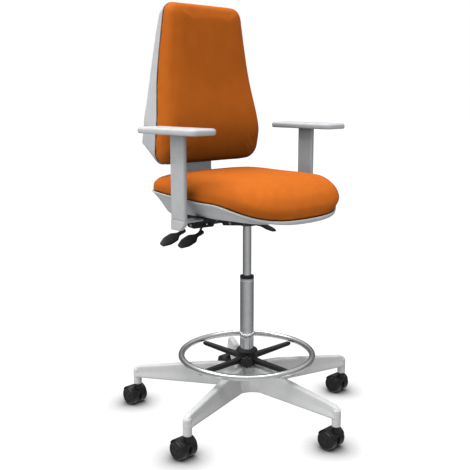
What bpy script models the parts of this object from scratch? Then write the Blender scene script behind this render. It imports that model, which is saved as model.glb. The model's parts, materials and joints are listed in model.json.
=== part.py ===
"""Drafting chair: five-legged base on twin-wheel castors, gas lift, footring, tilt mechanism, seat,
backrest and two height-adjustable arms. Metres, +Z up, the chair faces -Y. All sizes below are measured
from the column's axis and from a datum 4 mm under the floor; the chair is then moved so that it stands on
z = 0 with its box centred."""

from math import cos, exp, pi, radians, sin, sqrt

import bmesh
import bpy
from mathutils import Matrix, Vector

# ---- driving dimensions ---------------------------------------------------------------------------------
COLUMN_Y = 0.018          # the column stands this far behind the middle of the chair's footprint
FLOOR = 0.004             # height of the floor over the datum
GAP = 0.0003              # between pieces that touch

LEG_COUNT = 5
FIRST_LEG = radians(270)
STEM_CIRCLE = 0.379       # radius on which the castor stems stand
BOSS_LOW = 0.0770         # underside of the bosses that hold the stems
HUB_RADIUS = 0.042
HUB_LOW, HUB_HIGH = 0.098, 0.172

WHEEL_RADIUS = 0.030
WHEEL_WIDTH = 0.0262
WHEEL_INNER = 0.0066      # inner face of a wheel from the castor's middle plane
TRAIL = 0.018             # wheel axle behind the stem
CASTOR_PIN = 0.0053
HOOD_CLEARANCE = 0.0012   # between a wheel's tread and the hood over it
HOOD_SHELL = 0.0030
AXLE_Z = FLOOR + WHEEL_RADIUS

TUBE_RADIUS = 0.0225      # chrome outer tube
TUBE_TOP = 0.4665
TUBE_FOOT_RADIUS = 0.0212 # lower end of the taper that wedges in the hub
LIFT_RADIUS = 0.014       # pressure tube that carries the seat
LIFT_LOW, LIFT_TOP = 0.25, 0.6690

RING_RADIUS = 0.2164
RING_TUBE = 0.010
RING_Z = 0.2077
KNOB_ANGLE = radians(225)
KNOB_DROP = -0.0100       # the clamp screw runs below the ring's plane

TILT_Y, TILT_Z = -0.045, 0.667        # seat tilt axle
RECLINE_Y, RECLINE_Z = 0.122, 0.652   # backrest recline axle
AXLE_RADIUS = 0.0050
AXLE_HOLE = AXLE_RADIUS + GAP
PLATE_HALF = 0.118
PLATE_FRONT, PLATE_REAR = -0.108, 0.158
PLATE_TOP = 0.6875
SHEET = 0.003
LEVER_DROP = radians(20)              # slope of a lever's paddle
LEVER_ROLL = radians(27)              # turn of a paddle about its length, front edge down
LEVER_HOLE = 0.0068
LEVER_YS = {"back_tilt_lever": 0.152, "seat_tilt_lever": 0.064, "height_lever": 0.092}
LEVER_ZS = {"back_tilt_lever": 0.648, "seat_tilt_lever": 0.655, "height_lever": 0.646}

SEAT_HALF = 0.247
SEAT_MID_Y = -0.0125
SEAT_HALF_DEPTH = 0.2525
SEAM_FRONT, SEAM_MIDDLE = 0.6942, 0.7370    # seam at the front edge and half way back, in the middle
SEAM_FLARE = 0.006        # how much higher the seam runs along the sides
LIP_MIDDLE, LIP_SIDE = 0.0130, 0.0065       # depth of the shell's lip under the seam
SEAT_TOP = 0.802
SHELL_FLOOR = 0.6890
WALL = 0.003              # moulded shells

BACK_SEAM_Y = 0.217       # plane of the seam between back cushion and back shell
LUMBAR = 0.025            # how far the seam bows forward at the lumbar
LUMBAR_Z = 0.940
BACK_LOW, BACK_HIGH = 0.833, 1.338
BACK_MIDDLE = (BACK_LOW + BACK_HIGH) / 2
BACK_TOP_HALF, BACK_WIDE_HALF, BACK_LOW_HALF = 0.153, 0.216, 0.212
BACK_WIDE_Z = 0.930

REAR_LINE = ((0.880, 0.2570), (0.904, 0.2680), (0.960, 0.2535), (1.030, 0.2475), (1.150, 0.2450),
             (1.235, 0.2420), (1.330, 0.2330))

BAR_Y = 0.258             # middle of the upright back bar
BAR_HALF = 0.030
COVER_HALF = 0.0745       # half width of the plastic cover round the bar
ARM_X = 0.2825
ARM_Y = 0.0
PAD_OUT = 0.0075          # the pad stands this far outside its post
PAD_HALF = (0.048, 0.131)
POST_BLADE = (0.016, 0.062)
BAR_BAND = 0.022          # half width of the flat bar inside a post
BAR_LOW, BAR_UP = 0.680, 0.688        # the same bar where it runs under the seat
BAR_REACH = 0.162         # how far it runs inwards from the post
CHANNEL_REACH = 0.0745    # the seat plate's channel round it starts this far inwards
BOLT_REACH = 0.150
PAD_LOW, PAD_HIGH = 0.941, 0.961
SLEEVE_LOW = 0.692


# ---- scene and materials --------------------------------------------------------------------------------
for old in list(bpy.data.objects):
    bpy.data.objects.remove(old, do_unlink=True)

parts = bpy.data.collections.new("drafting_chair")
cutters = bpy.data.collections.new("cutters")
for collection in (parts, cutters):
    bpy.context.scene.collection.children.link(collection)


def finish(name, colour, roughness, metallic=0.0):
    material = bpy.data.materials.new(name)
    material.use_nodes = True
    shader = material.node_tree.nodes["Principled BSDF"]
    shader.inputs["Base Color"].default_value = (*colour, 1.0)
    shader.inputs["Roughness"].default_value = roughness
    shader.inputs["Metallic"].default_value = metallic
    return material


ORANGE = finish("orange_fabric", (0.80, 0.20, 0.025), 0.85)
WHITE = finish("light_grey_plastic", (0.62, 0.63, 0.65), 0.42)
BLACK = finish("black_plastic", (0.015, 0.015, 0.016), 0.45)
CHROME = finish("chrome", (0.80, 0.80, 0.82), 0.08, 1.0)
STEEL = finish("black_painted_steel", (0.02, 0.02, 0.022), 0.35)
BRIGHT = finish("bright_steel", (0.60, 0.60, 0.62), 0.3, 1.0)
WOOD = finish("plywood", (0.55, 0.38, 0.22), 0.7)
PAINTED = finish("grey_painted_steel", (0.58, 0.59, 0.60), 0.4)


def empty(name, parent=None, location=(0, 0, 0), rotation=(0, 0, 0)):
    made = bpy.data.objects.new(name, None)
    made.empty_display_size = 0.03
    made.parent = parent
    made.location = location
    made.rotation_euler = rotation
    parts.objects.link(made)
    return made


def place(name, mesh, material, parent, location=(0, 0, 0), rotation=(0, 0, 0)):
    """Puts a mesh in the scene as one named piece of the chair."""
    made = bpy.data.objects.new(name, mesh)
    made.parent = parent
    made.location = location
    made.rotation_euler = rotation
    if not mesh.materials:
        mesh.materials.append(material)
    parts.objects.link(made)
    return made


def cutter(name, mesh, parent, location=(0, 0, 0), rotation=(0, 0, 0)):
    made = bpy.data.objects.new(name, mesh)
    made.parent = parent
    made.location = location
    made.rotation_euler = rotation
    made.hide_render = True
    made.display_type = "WIRE"
    cutters.objects.link(made)
    return made


# ---- shapes ---------------------------------------------------------------------------------------------
def mesh_of(bm, name, smooth=35):
    bmesh.ops.recalc_face_normals(bm, faces=bm.faces)
    mesh = bpy.data.meshes.new(name)
    bm.to_mesh(mesh)
    bm.free()
    mesh.shade_smooth()
    mesh.set_sharp_from_angle(angle=radians(smooth))
    return mesh


def box_mesh(name, low, high):
    bm = bmesh.new()
    bmesh.ops.create_cube(bm, size=1.0)
    size = Vector(high) - Vector(low)
    middle = (Vector(high) + Vector(low)) / 2
    bmesh.ops.transform(bm, matrix=Matrix.Translation(middle) @ Matrix.Diagonal((*size, 1.0)), verts=bm.verts)
    return mesh_of(bm, name)


def rod_mesh(name, radius, start, end, segments=24, end_radius=None):
    """A round bar, or a cone frustum, from start to end."""
    bm = bmesh.new()
    line = Vector(end) - Vector(start)
    bmesh.ops.create_cone(bm, cap_ends=True, segments=segments, radius1=radius,
                          radius2=radius if end_radius is None else end_radius, depth=line.length)
    turn = line.to_track_quat("Z", "Y").to_matrix().to_4x4()
    middle = (Vector(start) + Vector(end)) / 2
    bmesh.ops.transform(bm, matrix=Matrix.Translation(middle) @ turn, verts=bm.verts)
    return mesh_of(bm, name)


def place_turned(name, profile, material, parent, location=(0, 0, 0), rotation=(0, 0, 0), steps=32,
                 closed=False):
    """A profile of (radius, height), down the outer side, turned round Z."""
    mesh = bpy.data.meshes.new(name)
    count = len(profile)
    edges = [(i, i + 1) for i in range(count - 1)]
    if closed:
        edges.append((count - 1, 0))
    mesh.from_pydata([(radius, 0, height) for radius, height in profile], edges, [])
    made = place(name, mesh, material, parent, location, rotation)
    turn = made.modifiers.new("Screw", "SCREW")
    turn.steps = turn.render_steps = steps
    turn.use_merge_vertices = True
    turn.merge_threshold = 0.00001
    turn.use_smooth_shade = True
    return made


def outline_mesh(name, outlines, low, high, axes="XY"):
    """A flat plate between two heights: the first outline is its edge, the others are holes in it."""
    curve = bpy.data.curves.new(name, "CURVE")
    curve.dimensions = "2D"
    curve.fill_mode = "BOTH"
    curve.extrude = (high - low) / 2
    for outline in outlines:
        spline = curve.splines.new("POLY")
        spline.points.add(len(outline) - 1)
        for point, (u, v) in zip(spline.points, outline):
            point.co = (u, v, 0, 1)
        spline.use_cyclic_u = True
    holder = bpy.data.objects.new(name, curve)
    bpy.context.scene.collection.objects.link(holder)
    graph = bpy.context.evaluated_depsgraph_get()
    mesh = bpy.data.meshes.new_from_object(holder.evaluated_get(graph))
    bpy.data.objects.remove(holder)
    bm = bmesh.new()
    bm.from_mesh(mesh)
    bmesh.ops.remove_doubles(bm, verts=bm.verts, dist=0.00001)
    frames = {"XY": Matrix.Identity(4),
              "YZ": Matrix(((0, 0, 1, 0), (1, 0, 0, 0), (0, 1, 0, 0), (0, 0, 0, 1))),
              "XZ": Matrix(((1, 0, 0, 0), (0, 0, -1, 0), (0, 1, 0, 0), (0, 0, 0, 1)))}
    shift = (high + low) / 2 * (-1 if axes == "XZ" else 1)
    bmesh.ops.transform(bm, matrix=frames[axes] @ Matrix.Translation((0, 0, shift)), verts=bm.verts)
    return mesh_of(bm, name)


def circle(radius, centre=(0, 0), count=12):
    return [(centre[0] + radius * cos(2 * pi * i / count), centre[1] + radius * sin(2 * pi * i / count))
            for i in range(count)]


def rounded(corners, steps=4):
    """A closed outline through (u, v, radius) corners, each rounded by an arc of its own radius."""
    outline = []
    for i, (u, v, radius) in enumerate(corners):
        here = Vector((u, v))
        before = (Vector(corners[i - 1][:2]) - here).normalized()
        after = (Vector(corners[(i + 1) % len(corners)][:2]) - here).normalized()
        half = before.angle(after) / 2
        reach = radius / max(0.001, abs(sin(half) / cos(half)))
        bisector = (before + after).normalized()
        centre = here + bisector * (radius / sin(half))
        start = here + before * reach - centre
        turn = start.angle_signed(here + after * reach - centre)
        for step in range(steps + 1):
            angle = -turn * step / steps
            outline.append(tuple(centre + Matrix.Rotation(angle, 2) @ start))
    return outline


def loft(name, rings, close_start=True, close_end=True, smooth=40):
    """A skin over rings of equally many points. A ring of one point is a pole."""
    bm = bmesh.new()
    made = [[bm.verts.new(point) for point in ring] for ring in rings]
    for first, second in zip(made, made[1:]):
        count = max(len(first), len(second))
        for i in range(count):
            j = (i + 1) % count
            if len(second) == 1:
                bm.faces.new((first[i], first[j], second[0]))
            elif len(first) == 1:
                bm.faces.new((first[0], second[j], second[i]))
            else:
                bm.faces.new((first[i], first[j], second[j], second[i]))
    if close_start and len(made[0]) > 1:
        bm.faces.new(made[0])
    if close_end and len(made[-1]) > 1:
        bm.faces.new(made[-1])
    return mesh_of(bm, name, smooth)


def bevel(obj, width, segments=2, angle=35):
    edge = obj.modifiers.new("Bevel", "BEVEL")
    edge.width = width
    edge.segments = segments
    edge.limit_method = "ANGLE"
    edge.angle_limit = radians(angle)
    return obj


def combine(obj, other, operation="DIFFERENCE"):
    step = obj.modifiers.new("Boolean", "BOOLEAN")
    step.object = other
    step.operation = operation
    step.solver = "EXACT"
    return obj


chair = empty("chair", None, (0, COLUMN_Y, -FLOOR))


# ---- base -----------------------------------------------------------------------------------------------
def leg_top(r):
    """Height of the leg's ridge: level at the hub, straight, then rounded down over the castor's boss."""
    straight = min(HUB_HIGH + 0.001, 0.1815 - 0.118 * (r - 0.045))
    over = max(0.0, r - 0.368) / 0.0262
    return straight - 0.022 * (1 - sqrt(max(0.0, 1 - over * over)))


def leg_mesh():
    """One leg along +X: narrow ridge, flat leaning sides, deep at the hub and shallow at the tip."""
    rings = []
    for r in (0.028, 0.120, 0.230, 0.330, 0.368, 0.381, 0.389, 0.3925):
        along = (r - 0.028) / 0.365
        wide = 0.027 - 0.0105 * along
        ridge = 0.0125 - 0.004 * along
        high = leg_top(r)
        low = 0.0985 + 0.004 * along
        end = max(0.0, r - 0.372) / 0.0215
        pinch = sqrt(max(0.08, 1 - end * end))
        side = [(wide - 0.007, low), (wide, low + 0.006), (wide * 0.93, low + 0.5 * (high - low)),
                (ridge + 0.0015, high - 0.004), (ridge - 0.003, high)]
        ring = [Vector((r, y * pinch, z)) for y, z in side]
        rings.append(ring + [Vector((r, -y * pinch, z)) for y, z in reversed(side)])
    return loft("leg", rings)


def star_base():
    hub_profile = [(0, HUB_HIGH), (HUB_RADIUS - 0.004, HUB_HIGH), (HUB_RADIUS, HUB_HIGH - 0.004),
                   (HUB_RADIUS + 0.006, HUB_LOW + 0.004), (HUB_RADIUS + 0.002, HUB_LOW), (0, HUB_LOW)]
    base = place_turned("star_base", hub_profile, WHITE, chair)
    leg = leg_mesh()
    for k in range(LEG_COUNT):
        angle = FIRST_LEG + k * 2 * pi / LEG_COUNT
        stem = (STEM_CIRCLE * cos(angle), STEM_CIRCLE * sin(angle), 0)
        combine(base, cutter(f"leg_form_{k + 1}", leg, chair, rotation=(0, 0, angle)), "UNION")
        boss = rod_mesh("boss", 0.0138, (0, 0, BOSS_LOW), (0, 0, 0.128), 16, 0.0148)
        combine(base, cutter(f"boss_form_{k + 1}", boss, chair, stem, (0, 0, angle)), "UNION")
        hole = rod_mesh("stem_hole", CASTOR_PIN + GAP, (0, 0, 0.05), (0, 0, 0.1115), 12)
        combine(base, cutter(f"stem_hole_{k + 1}", hole, chair, stem))
    taper = rod_mesh("column_taper", TUBE_FOOT_RADIUS + GAP, (0, 0, 0.085), (0, 0, 0.190), 28,
                     TUBE_RADIUS + GAP)
    return combine(base, cutter("column_taper", taper, chair))


# ---- column ---------------------------------------------------------------------------------------------
def column():
    tube = [(TUBE_RADIUS - 0.001, TUBE_TOP), (TUBE_RADIUS, TUBE_TOP - 0.001), (TUBE_RADIUS, 0.190),
            (TUBE_FOOT_RADIUS, 0.0865), (0.0062, 0.0865), (0.0062, 0.0905), (0.0176, 0.0905), (0.0176, TUBE_TOP)]
    place_turned("outer_tube", tube, CHROME, chair, steps=28, closed=True)
    bush = [(0.0222, 0.4755), (0.0228, 0.4748), (0.0228, TUBE_TOP + GAP), (0.0172, TUBE_TOP + GAP),
            (0.0172, 0.405), (LIFT_RADIUS + 0.0003, 0.405), (LIFT_RADIUS + 0.0003, 0.4755)]
    place_turned("guide_bush", bush, BLACK, chair, steps=24, closed=True)
    bearing = [(0.0150, 0.0965), (0.0150, 0.0908), (0.0056, 0.0908), (0.0056, 0.0965)]
    place_turned("thrust_bearing", bearing, BRIGHT, chair, steps=16, closed=True)
    rod = [(0, 0.415), (0.0100, 0.415), (0.0112, 0.413), (0.0112, 0.402), (0.0050, 0.400), (0.0050, 0.0990),
           (0.0085, 0.0990), (0.0085, 0.0970), (0.0050, 0.0970), (0.0050, 0.0800), (0, 0.0800)]
    place_turned("piston_rod", rod, BRIGHT, chair, steps=14)
    clip = [(0.0100, 0.0860), (0.0100, 0.0835), (0.0053, 0.0835), (0.0053, 0.0860)]
    place_turned("retaining_clip", clip, BRIGHT, chair, steps=16, closed=True)


def gas_lift(lift):
    tube = [(0.0125, LIFT_TOP), (LIFT_RADIUS - 0.0007, LIFT_TOP - 0.002), (LIFT_RADIUS, 0.625),
            (LIFT_RADIUS, LIFT_LOW + 0.001), (LIFT_RADIUS - 0.001, LIFT_LOW), (0.0054, LIFT_LOW),
            (0.0054, LIFT_LOW + 0.015), (0.0118, LIFT_LOW + 0.015), (0.0118, 0.632), (0.0034, 0.632),
            (0.0034, LIFT_TOP)]
    place_turned("pressure_tube", tube, CHROME, lift, steps=24, closed=True)
    pin = [(0, 0.6735), (0.0024, 0.6735), (0.0030, 0.6727), (0.0030, 0.6365), (0, 0.6365)]
    place_turned("valve_button", pin, BRIGHT, lift, steps=16)


# ---- footring -------------------------------------------------------------------------------------------
def spoke_mesh():
    rings = []
    for r, half, low, high in ((0.026, 0.0120, 0.1860, 0.2050), (0.050, 0.0114, 0.1865, 0.2020),
                               (0.120, 0.0098, 0.1870, 0.2005), (0.2000, 0.0084, 0.1875, 0.2000),
                               (0.2110, 0.0080, 0.1885, 0.1980)):
        edge = 0.35 * half
        side = [(half, low), (half, high - edge), (half - edge, high)]
        rings.append([Vector((r, y, z)) for y, z in side] + [Vector((r, -y, z)) for y, z in reversed(side)])
    return loft("spoke", rings)


def footring():
    ring = empty("footring", chair, (0, 0, RING_Z))
    bm = bmesh.new()
    around, section = 60, 8
    rows = []
    for i in range(around):
        turn = 2 * pi * i / around
        rows.append([bm.verts.new(((RING_RADIUS + RING_TUBE * cos(2 * pi * j / section)) * cos(turn),
                                   (RING_RADIUS + RING_TUBE * cos(2 * pi * j / section)) * sin(turn),
                                   RING_TUBE * sin(2 * pi * j / section))) for j in range(section)])
    for i in range(around):
        for j in range(section):
            k, m = (i + 1) % around, (j + 1) % section
            bm.faces.new((rows[i][j], rows[k][j], rows[k][m], rows[i][m]))
    place("footring_ring", mesh_of(bm, "ring"), CHROME, ring)
    hub = [(TUBE_RADIUS + GAP + 0.0002, 0.2265), (0.0325, 0.2265), (0.0345, 0.2240), (0.0345, 0.1800),
           (0.0330, 0.1780), (TUBE_RADIUS + GAP + 0.0002, 0.1780)]
    spider = place_turned("footring_spider", hub, BLACK, ring, (0, 0, -RING_Z), closed=True)
    spoke = spoke_mesh()
    for k in range(4):
        form = cutter(f"spoke_form_{k + 1}", spoke, ring, (0, 0, -RING_Z), (0, 0, k * pi / 2))
        combine(spider, form, "UNION")
    bore = rod_mesh("spider_bore", TUBE_RADIUS + GAP + 0.0002, (0, 0, 0.15), (0, 0, 0.26), 32)
    combine(spider, cutter("spider_bore", bore, ring, (0, 0, -RING_Z)))
    out = Vector((cos(KNOB_ANGLE), sin(KNOB_ANGLE), 0))
    screw_hole = rod_mesh("screw_hole", 0.0050, out * 0.020, out * 0.045, 16)
    combine(spider, cutter("screw_hole", screw_hole, ring, (0, 0, KNOB_DROP)))
    lobes = [0.0188 + 0.0010 * (-1) ** (i // 2) for i in range(32)]
    star = [(r * cos(2 * pi * i / 32), r * sin(2 * pi * i / 32)) for i, r in enumerate(lobes)]
    grip = outline_mesh("knob", [star], 0.0465, 0.0640)
    knob = place("footring_knob", grip, BLACK, ring, (0, 0, KNOB_DROP), (0, pi / 2, KNOB_ANGLE))
    bevel(knob, 0.0015, 1, 60)
    stem = rod_mesh("knob_stem", 0.0046, (0, 0, 0.0236), (0, 0, 0.050), 16)
    combine(knob, cutter("knob_stem", stem, ring, (0, 0, KNOB_DROP), (0, pi / 2, KNOB_ANGLE)), "UNION")


# ---- castors --------------------------------------------------------------------------------------------
def wheel_profile():
    """A wheel turned round Z: tread, rounded shoulders, dished outer face, bore for the axle."""
    w, r = WHEEL_WIDTH, WHEEL_RADIUS
    return [(0.0046, w - 0.0020), (0.0225, w), (r - 0.0030, w - 0.0012), (r, w - 0.0060), (r, 0.0), (0.0046, 0.0)]


def castors():
    around, w = WHEEL_RADIUS + HOOD_CLEARANCE, WHEEL_INNER + WHEEL_WIDTH
    cover_r = around + HOOD_SHELL
    arc = [radians(25 + 130 * i / 8) for i in range(9)]
    for k in range(LEG_COUNT):
        angle = FIRST_LEG + k * 2 * pi / LEG_COUNT
        stem = (STEM_CIRCLE * cos(angle), STEM_CIRCLE * sin(angle), 0)
        swivel = empty(f"castor_{k + 1}_swivel", chair, stem)
        axle = empty(f"castor_{k + 1}_axle_line", swivel, (0, TRAIL, AXLE_Z))
        band = [(cover_r * cos(a), cover_r * sin(a)) for a in arc]
        band += [(around * cos(a), around * sin(a)) for a in reversed(arc)]
        hood = place(f"castor_{k + 1}_hood", outline_mesh("hood", [band], -w, w, "YZ"), BLACK, axle)
        web_arc = [((cover_r - 0.001) * cos(a), (cover_r - 0.001) * sin(a)) for a in arc]
        web = outline_mesh("web", [web_arc + [(-0.020, -0.012), (0.020, -0.012)]], 0.0007 - WHEEL_INNER,
                           WHEEL_INNER - 0.0007, "YZ")
        combine(hood, cutter(f"castor_{k + 1}_web", web, axle), "UNION")
        neck = rod_mesh("neck", 0.0112, (0, -TRAIL, 0.0255), (0, -TRAIL, BOSS_LOW - AXLE_Z - 0.0012), 14)
        combine(hood, cutter(f"castor_{k + 1}_neck", neck, axle), "UNION")
        pin = rod_mesh("pin", CASTOR_PIN, (0, -TRAIL, 0.035), (0, -TRAIL, 0.110 - AXLE_Z), 10)
        combine(hood, cutter(f"castor_{k + 1}_pin", pin, axle), "UNION")
        gone = rod_mesh("hood_bore", 0.0043, (-0.01, 0, 0), (0.01, 0, 0), 10)
        combine(hood, cutter(f"castor_{k + 1}_hood_bore", gone, axle))
        for side, name in ((-1, "right"), (1, "left")):
            space = rod_mesh("wheel_space", WHEEL_RADIUS + 2 * GAP, (side * (WHEEL_INNER - GAP), 0, 0),
                             (side * 0.040, 0, 0), 24)
            combine(hood, cutter(f"castor_{k + 1}_space_{name}", space, axle))
            place_turned(f"castor_{k + 1}_wheel_{name}", wheel_profile(), BLACK, axle,
                         (side * WHEEL_INNER, 0, 0), (0, side * pi / 2, 0), steps=20, closed=True)
        shaft = rod_mesh("axle", 0.0038, (-0.0250, 0, 0), (0.0250, 0, 0), 10)
        place(f"castor_{k + 1}_axle", shaft, BRIGHT, axle)


# ---- tilt mechanism -------------------------------------------------------------------------------------
def housing(lift):
    block = box_mesh("housing", (-0.048, -0.062, 0.648), (0.048, 0.066, 0.676))
    body = place("mechanism_housing", block, STEEL, lift)
    bevel(body, 0.006)
    pocket = box_mesh("pocket", (-0.044, -0.058, 0.60), (0.044, 0.062, 0.672))
    combine(body, cutter("housing_pocket", pocket, lift))
    boss = rod_mesh("boss", 0.0215, (0, 0, 0.640), (0, 0, 0.674), 24)
    combine(body, cutter("lift_boss", boss, lift), "UNION")
    bore = rod_mesh("bore", LIFT_RADIUS + GAP, (0, 0, 0.60), (0, 0, 0.68), 32)
    combine(body, cutter("lift_bore", bore, lift))
    hole = rod_mesh("hole", AXLE_HOLE, (-0.06, TILT_Y, TILT_Z), (0.06, TILT_Y, TILT_Z), 16)
    combine(body, cutter("tilt_hole", hole, lift))


def flange_outline():
    """Side flange of the seat plate: two ears with a notch between them, the rear ear deeper."""
    top = PLATE_TOP - 0.001
    return rounded([(PLATE_FRONT, top, 0.001), (PLATE_FRONT, 0.674, 0.004), (-0.098, 0.666, 0.006),
                    (-0.012, 0.6555, 0.004), (-0.009, 0.6620, 0.003), (0.028, 0.6620, 0.003),
                    (0.034, 0.646, 0.005), (0.125, 0.627, 0.010), (0.160, 0.630, 0.010),
                    (PLATE_REAR, top, 0.001)], 2)


def seat_plate(seat):
    sheet = box_mesh("plate", (-PLATE_HALF, PLATE_FRONT, PLATE_TOP - SHEET), (PLATE_HALF, PLATE_REAR, PLATE_TOP))
    plate = place("seat_plate", sheet, STEEL, seat)
    axles = [circle(AXLE_HOLE, (TILT_Y, TILT_Z)), circle(AXLE_HOLE, (RECLINE_Y, RECLINE_Z))]
    for side, name in ((-1, "right"), (1, "left")):
        levers = [lever for lever in LEVER_YS if (lever == "height_lever") == (side > 0)]
        holes = axles + [circle(LEVER_HOLE, (LEVER_YS[lever], LEVER_ZS[lever])) for lever in levers]
        low, high = sorted((side * PLATE_HALF, side * (PLATE_HALF - SHEET)))
        flange = outline_mesh("flange", [flange_outline()] + holes, low, high, "YZ")
        combine(plate, cutter(f"flange_{name}", flange, seat), "UNION")
        outer = ARM_X - CHANNEL_REACH
        across = BAR_BAND + SHEET
        channel = side_box("channel", side, (PLATE_HALF - SHEET / 2, outer), (-across, across),
                           (BAR_LOW - SHEET, BAR_UP + GAP))
        combine(plate, cutter(f"channel_{name}", channel, seat), "UNION")
        across = BAR_BAND + GAP
        room = side_box("channel_room", side, (PLATE_HALF + 0.001, outer + 0.01), (-across, across),
                        (BAR_LOW - GAP, BAR_UP + 0.01))
        combine(plate, cutter(f"channel_room_{name}", room, seat))
        at = side * (ARM_X - BOLT_REACH)
        hole = rod_mesh("channel_hole", 0.0043, (at, 0, 0.66), (at, 0, 0.70), 16)
        combine(plate, cutter(f"channel_hole_{name}", hole, seat))
    return plate


def axles_and_spring(seat):
    end = PLATE_HALF + 0.003
    for name, y, z in (("tilt_axle", TILT_Y, TILT_Z), ("recline_axle", RECLINE_Y, RECLINE_Z)):
        place(name, rod_mesh(name, AXLE_RADIUS, (-end, y, z), (end, y, z), 16), BRIGHT, seat)
    curve = bpy.data.curves.new("recline_spring", "CURVE")
    curve.dimensions = "3D"
    curve.bevel_depth = 0.0018
    curve.bevel_resolution = 0
    curve.use_fill_caps = True
    spline = curve.splines.new("POLY")
    turns, per_turn = 5, 10
    spline.points.add(turns * per_turn)
    for i, point in enumerate(spline.points):
        angle = 2 * pi * i / per_turn
        point.co = (-0.0165 + 0.033 * i / (turns * per_turn), 0.0105 * cos(angle), 0.0105 * sin(angle), 1)
    curve.materials.append(BRIGHT)
    spring = bpy.data.objects.new("recline_spring", curve)
    spring.parent = seat
    spring.location = (0, RECLINE_Y, RECLINE_Z)
    parts.objects.link(spring)


def lever(name, seat):
    """A bent rod that comes out of the flange, turns down, and ends in a flat leaf-shaped paddle."""
    side = 1 if name == "height_lever" else -1
    pivot = empty(f"{name}_pivot", seat, (side * PLATE_HALF, LEVER_YS[name], LEVER_ZS[name]))
    curve = bpy.data.curves.new(name + "_rod", "CURVE")
    curve.dimensions = "3D"
    curve.bevel_depth = 0.0040
    curve.bevel_resolution = 1
    curve.use_fill_caps = True
    spline = curve.splines.new("POLY")
    path = [(-0.018, 0), (0.006, 0), (0.012, -0.002), (0.017, -0.008), (0.030, -0.028), (0.036, -0.034),
            (0.060, -0.044)]
    spline.points.add(len(path) - 1)
    for point, (x, z) in zip(spline.points, path):
        point.co = (side * x, 0, z, 1)
    holder = bpy.data.objects.new(name + "_rod", curve)
    bpy.context.scene.collection.objects.link(holder)
    graph = bpy.context.evaluated_depsgraph_get()
    mesh = bpy.data.meshes.new_from_object(holder.evaluated_get(graph))
    bpy.data.objects.remove(holder)
    bm = bmesh.new()
    bm.from_mesh(mesh)
    bmesh.ops.remove_doubles(bm, verts=bm.verts, dist=0.00001)
    rod = place(name, mesh_of(bm, name), BLACK, pivot)
    half = [(-0.006, 0.0068, 0.002), (0.014, 0.0075, 0.005), (0.032, 0.0190, 0.008), (0.064, 0.0185, 0.008),
            (0.088, 0.0078, 0.005)]
    leaf = half + [(x, -y, radius) for x, y, radius in reversed(half)]
    paddle = outline_mesh("paddle", [rounded(leaf, 2)], -0.0052, 0.0052)
    form = cutter(name + "_paddle", paddle, pivot, (side * 0.030, 0, -0.032),
                  (side * LEVER_ROLL, LEVER_DROP, 0 if side > 0 else pi))
    bevel(form, 0.0030, 1, 50)
    return combine(rod, form, "UNION")


# ---- seat -----------------------------------------------------------------------------------------------
def seat_outline(count=40):
    """Plan of the seat: wide curved front corners, squarer rear ones."""
    points = []
    for i in range(count):
        angle = 2 * pi * i / count
        power = 3.2 if sin(angle) < 0 else 5.2
        x = SEAT_HALF * abs(cos(angle)) ** (2 / power) * (1 if cos(angle) >= 0 else -1)
        y = SEAT_HALF_DEPTH * abs(sin(angle)) ** (2 / power) * (1 if sin(angle) >= 0 else -1)
        points.append((x, y))
    return points


def seam_z(x, y):
    """Height of the seat's seam: it dips at the waterfall front and rises to the rear and to the sides."""
    along = min(1.0, max(0.0, (y + 0.272) / 0.180))
    middle = SEAM_FRONT + (SEAM_MIDDLE - SEAM_FRONT) * along * along * (3 - 2 * along)
    return middle + SEAM_FLARE * (x / SEAT_HALF) ** 2 + 0.060 * max(0.0, y + 0.05)


def lip_z(x, y):
    """Lower edge of the shell's lip, which is deep at the middle of the front and shallow at the sides."""
    side = min(1.0, abs(x) / 0.190) ** 2
    return seam_z(x, y) - LIP_MIDDLE - (LIP_SIDE - LIP_MIDDLE) * side


def floor_z(y):
    """Lowest part of the shell: level over the seat plate, lower in front of it and behind it."""
    front = min(1.0, max(0.0, (-0.13 - y) / 0.11))
    rear = min(1.0, max(0.0, (y - 0.115) / 0.05))
    return SHELL_FLOOR - 0.009 * front - 0.014 * rear


def top_z(y):
    """Height of the cushion's top before its crown: rising to the rear, rolling over at the front."""
    return SEAT_TOP - 0.034 * (max(0.0, -0.115 - y) / 0.150) ** 2 + 0.03 * max(0.0, y - 0.02)


def seat_ring(inset, height, scale=1.0):
    """One ring of the seat's plan, drawn in by inset, at height(x, y)."""
    ring = []
    for x, y in seat_outline():
        x *= scale * (1 - inset / SEAT_HALF)
        y *= scale * (1 - inset / SEAT_HALF_DEPTH)
        y += SEAT_MID_Y
        ring.append(Vector((x, y, height(x, y))))
    return ring


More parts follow.
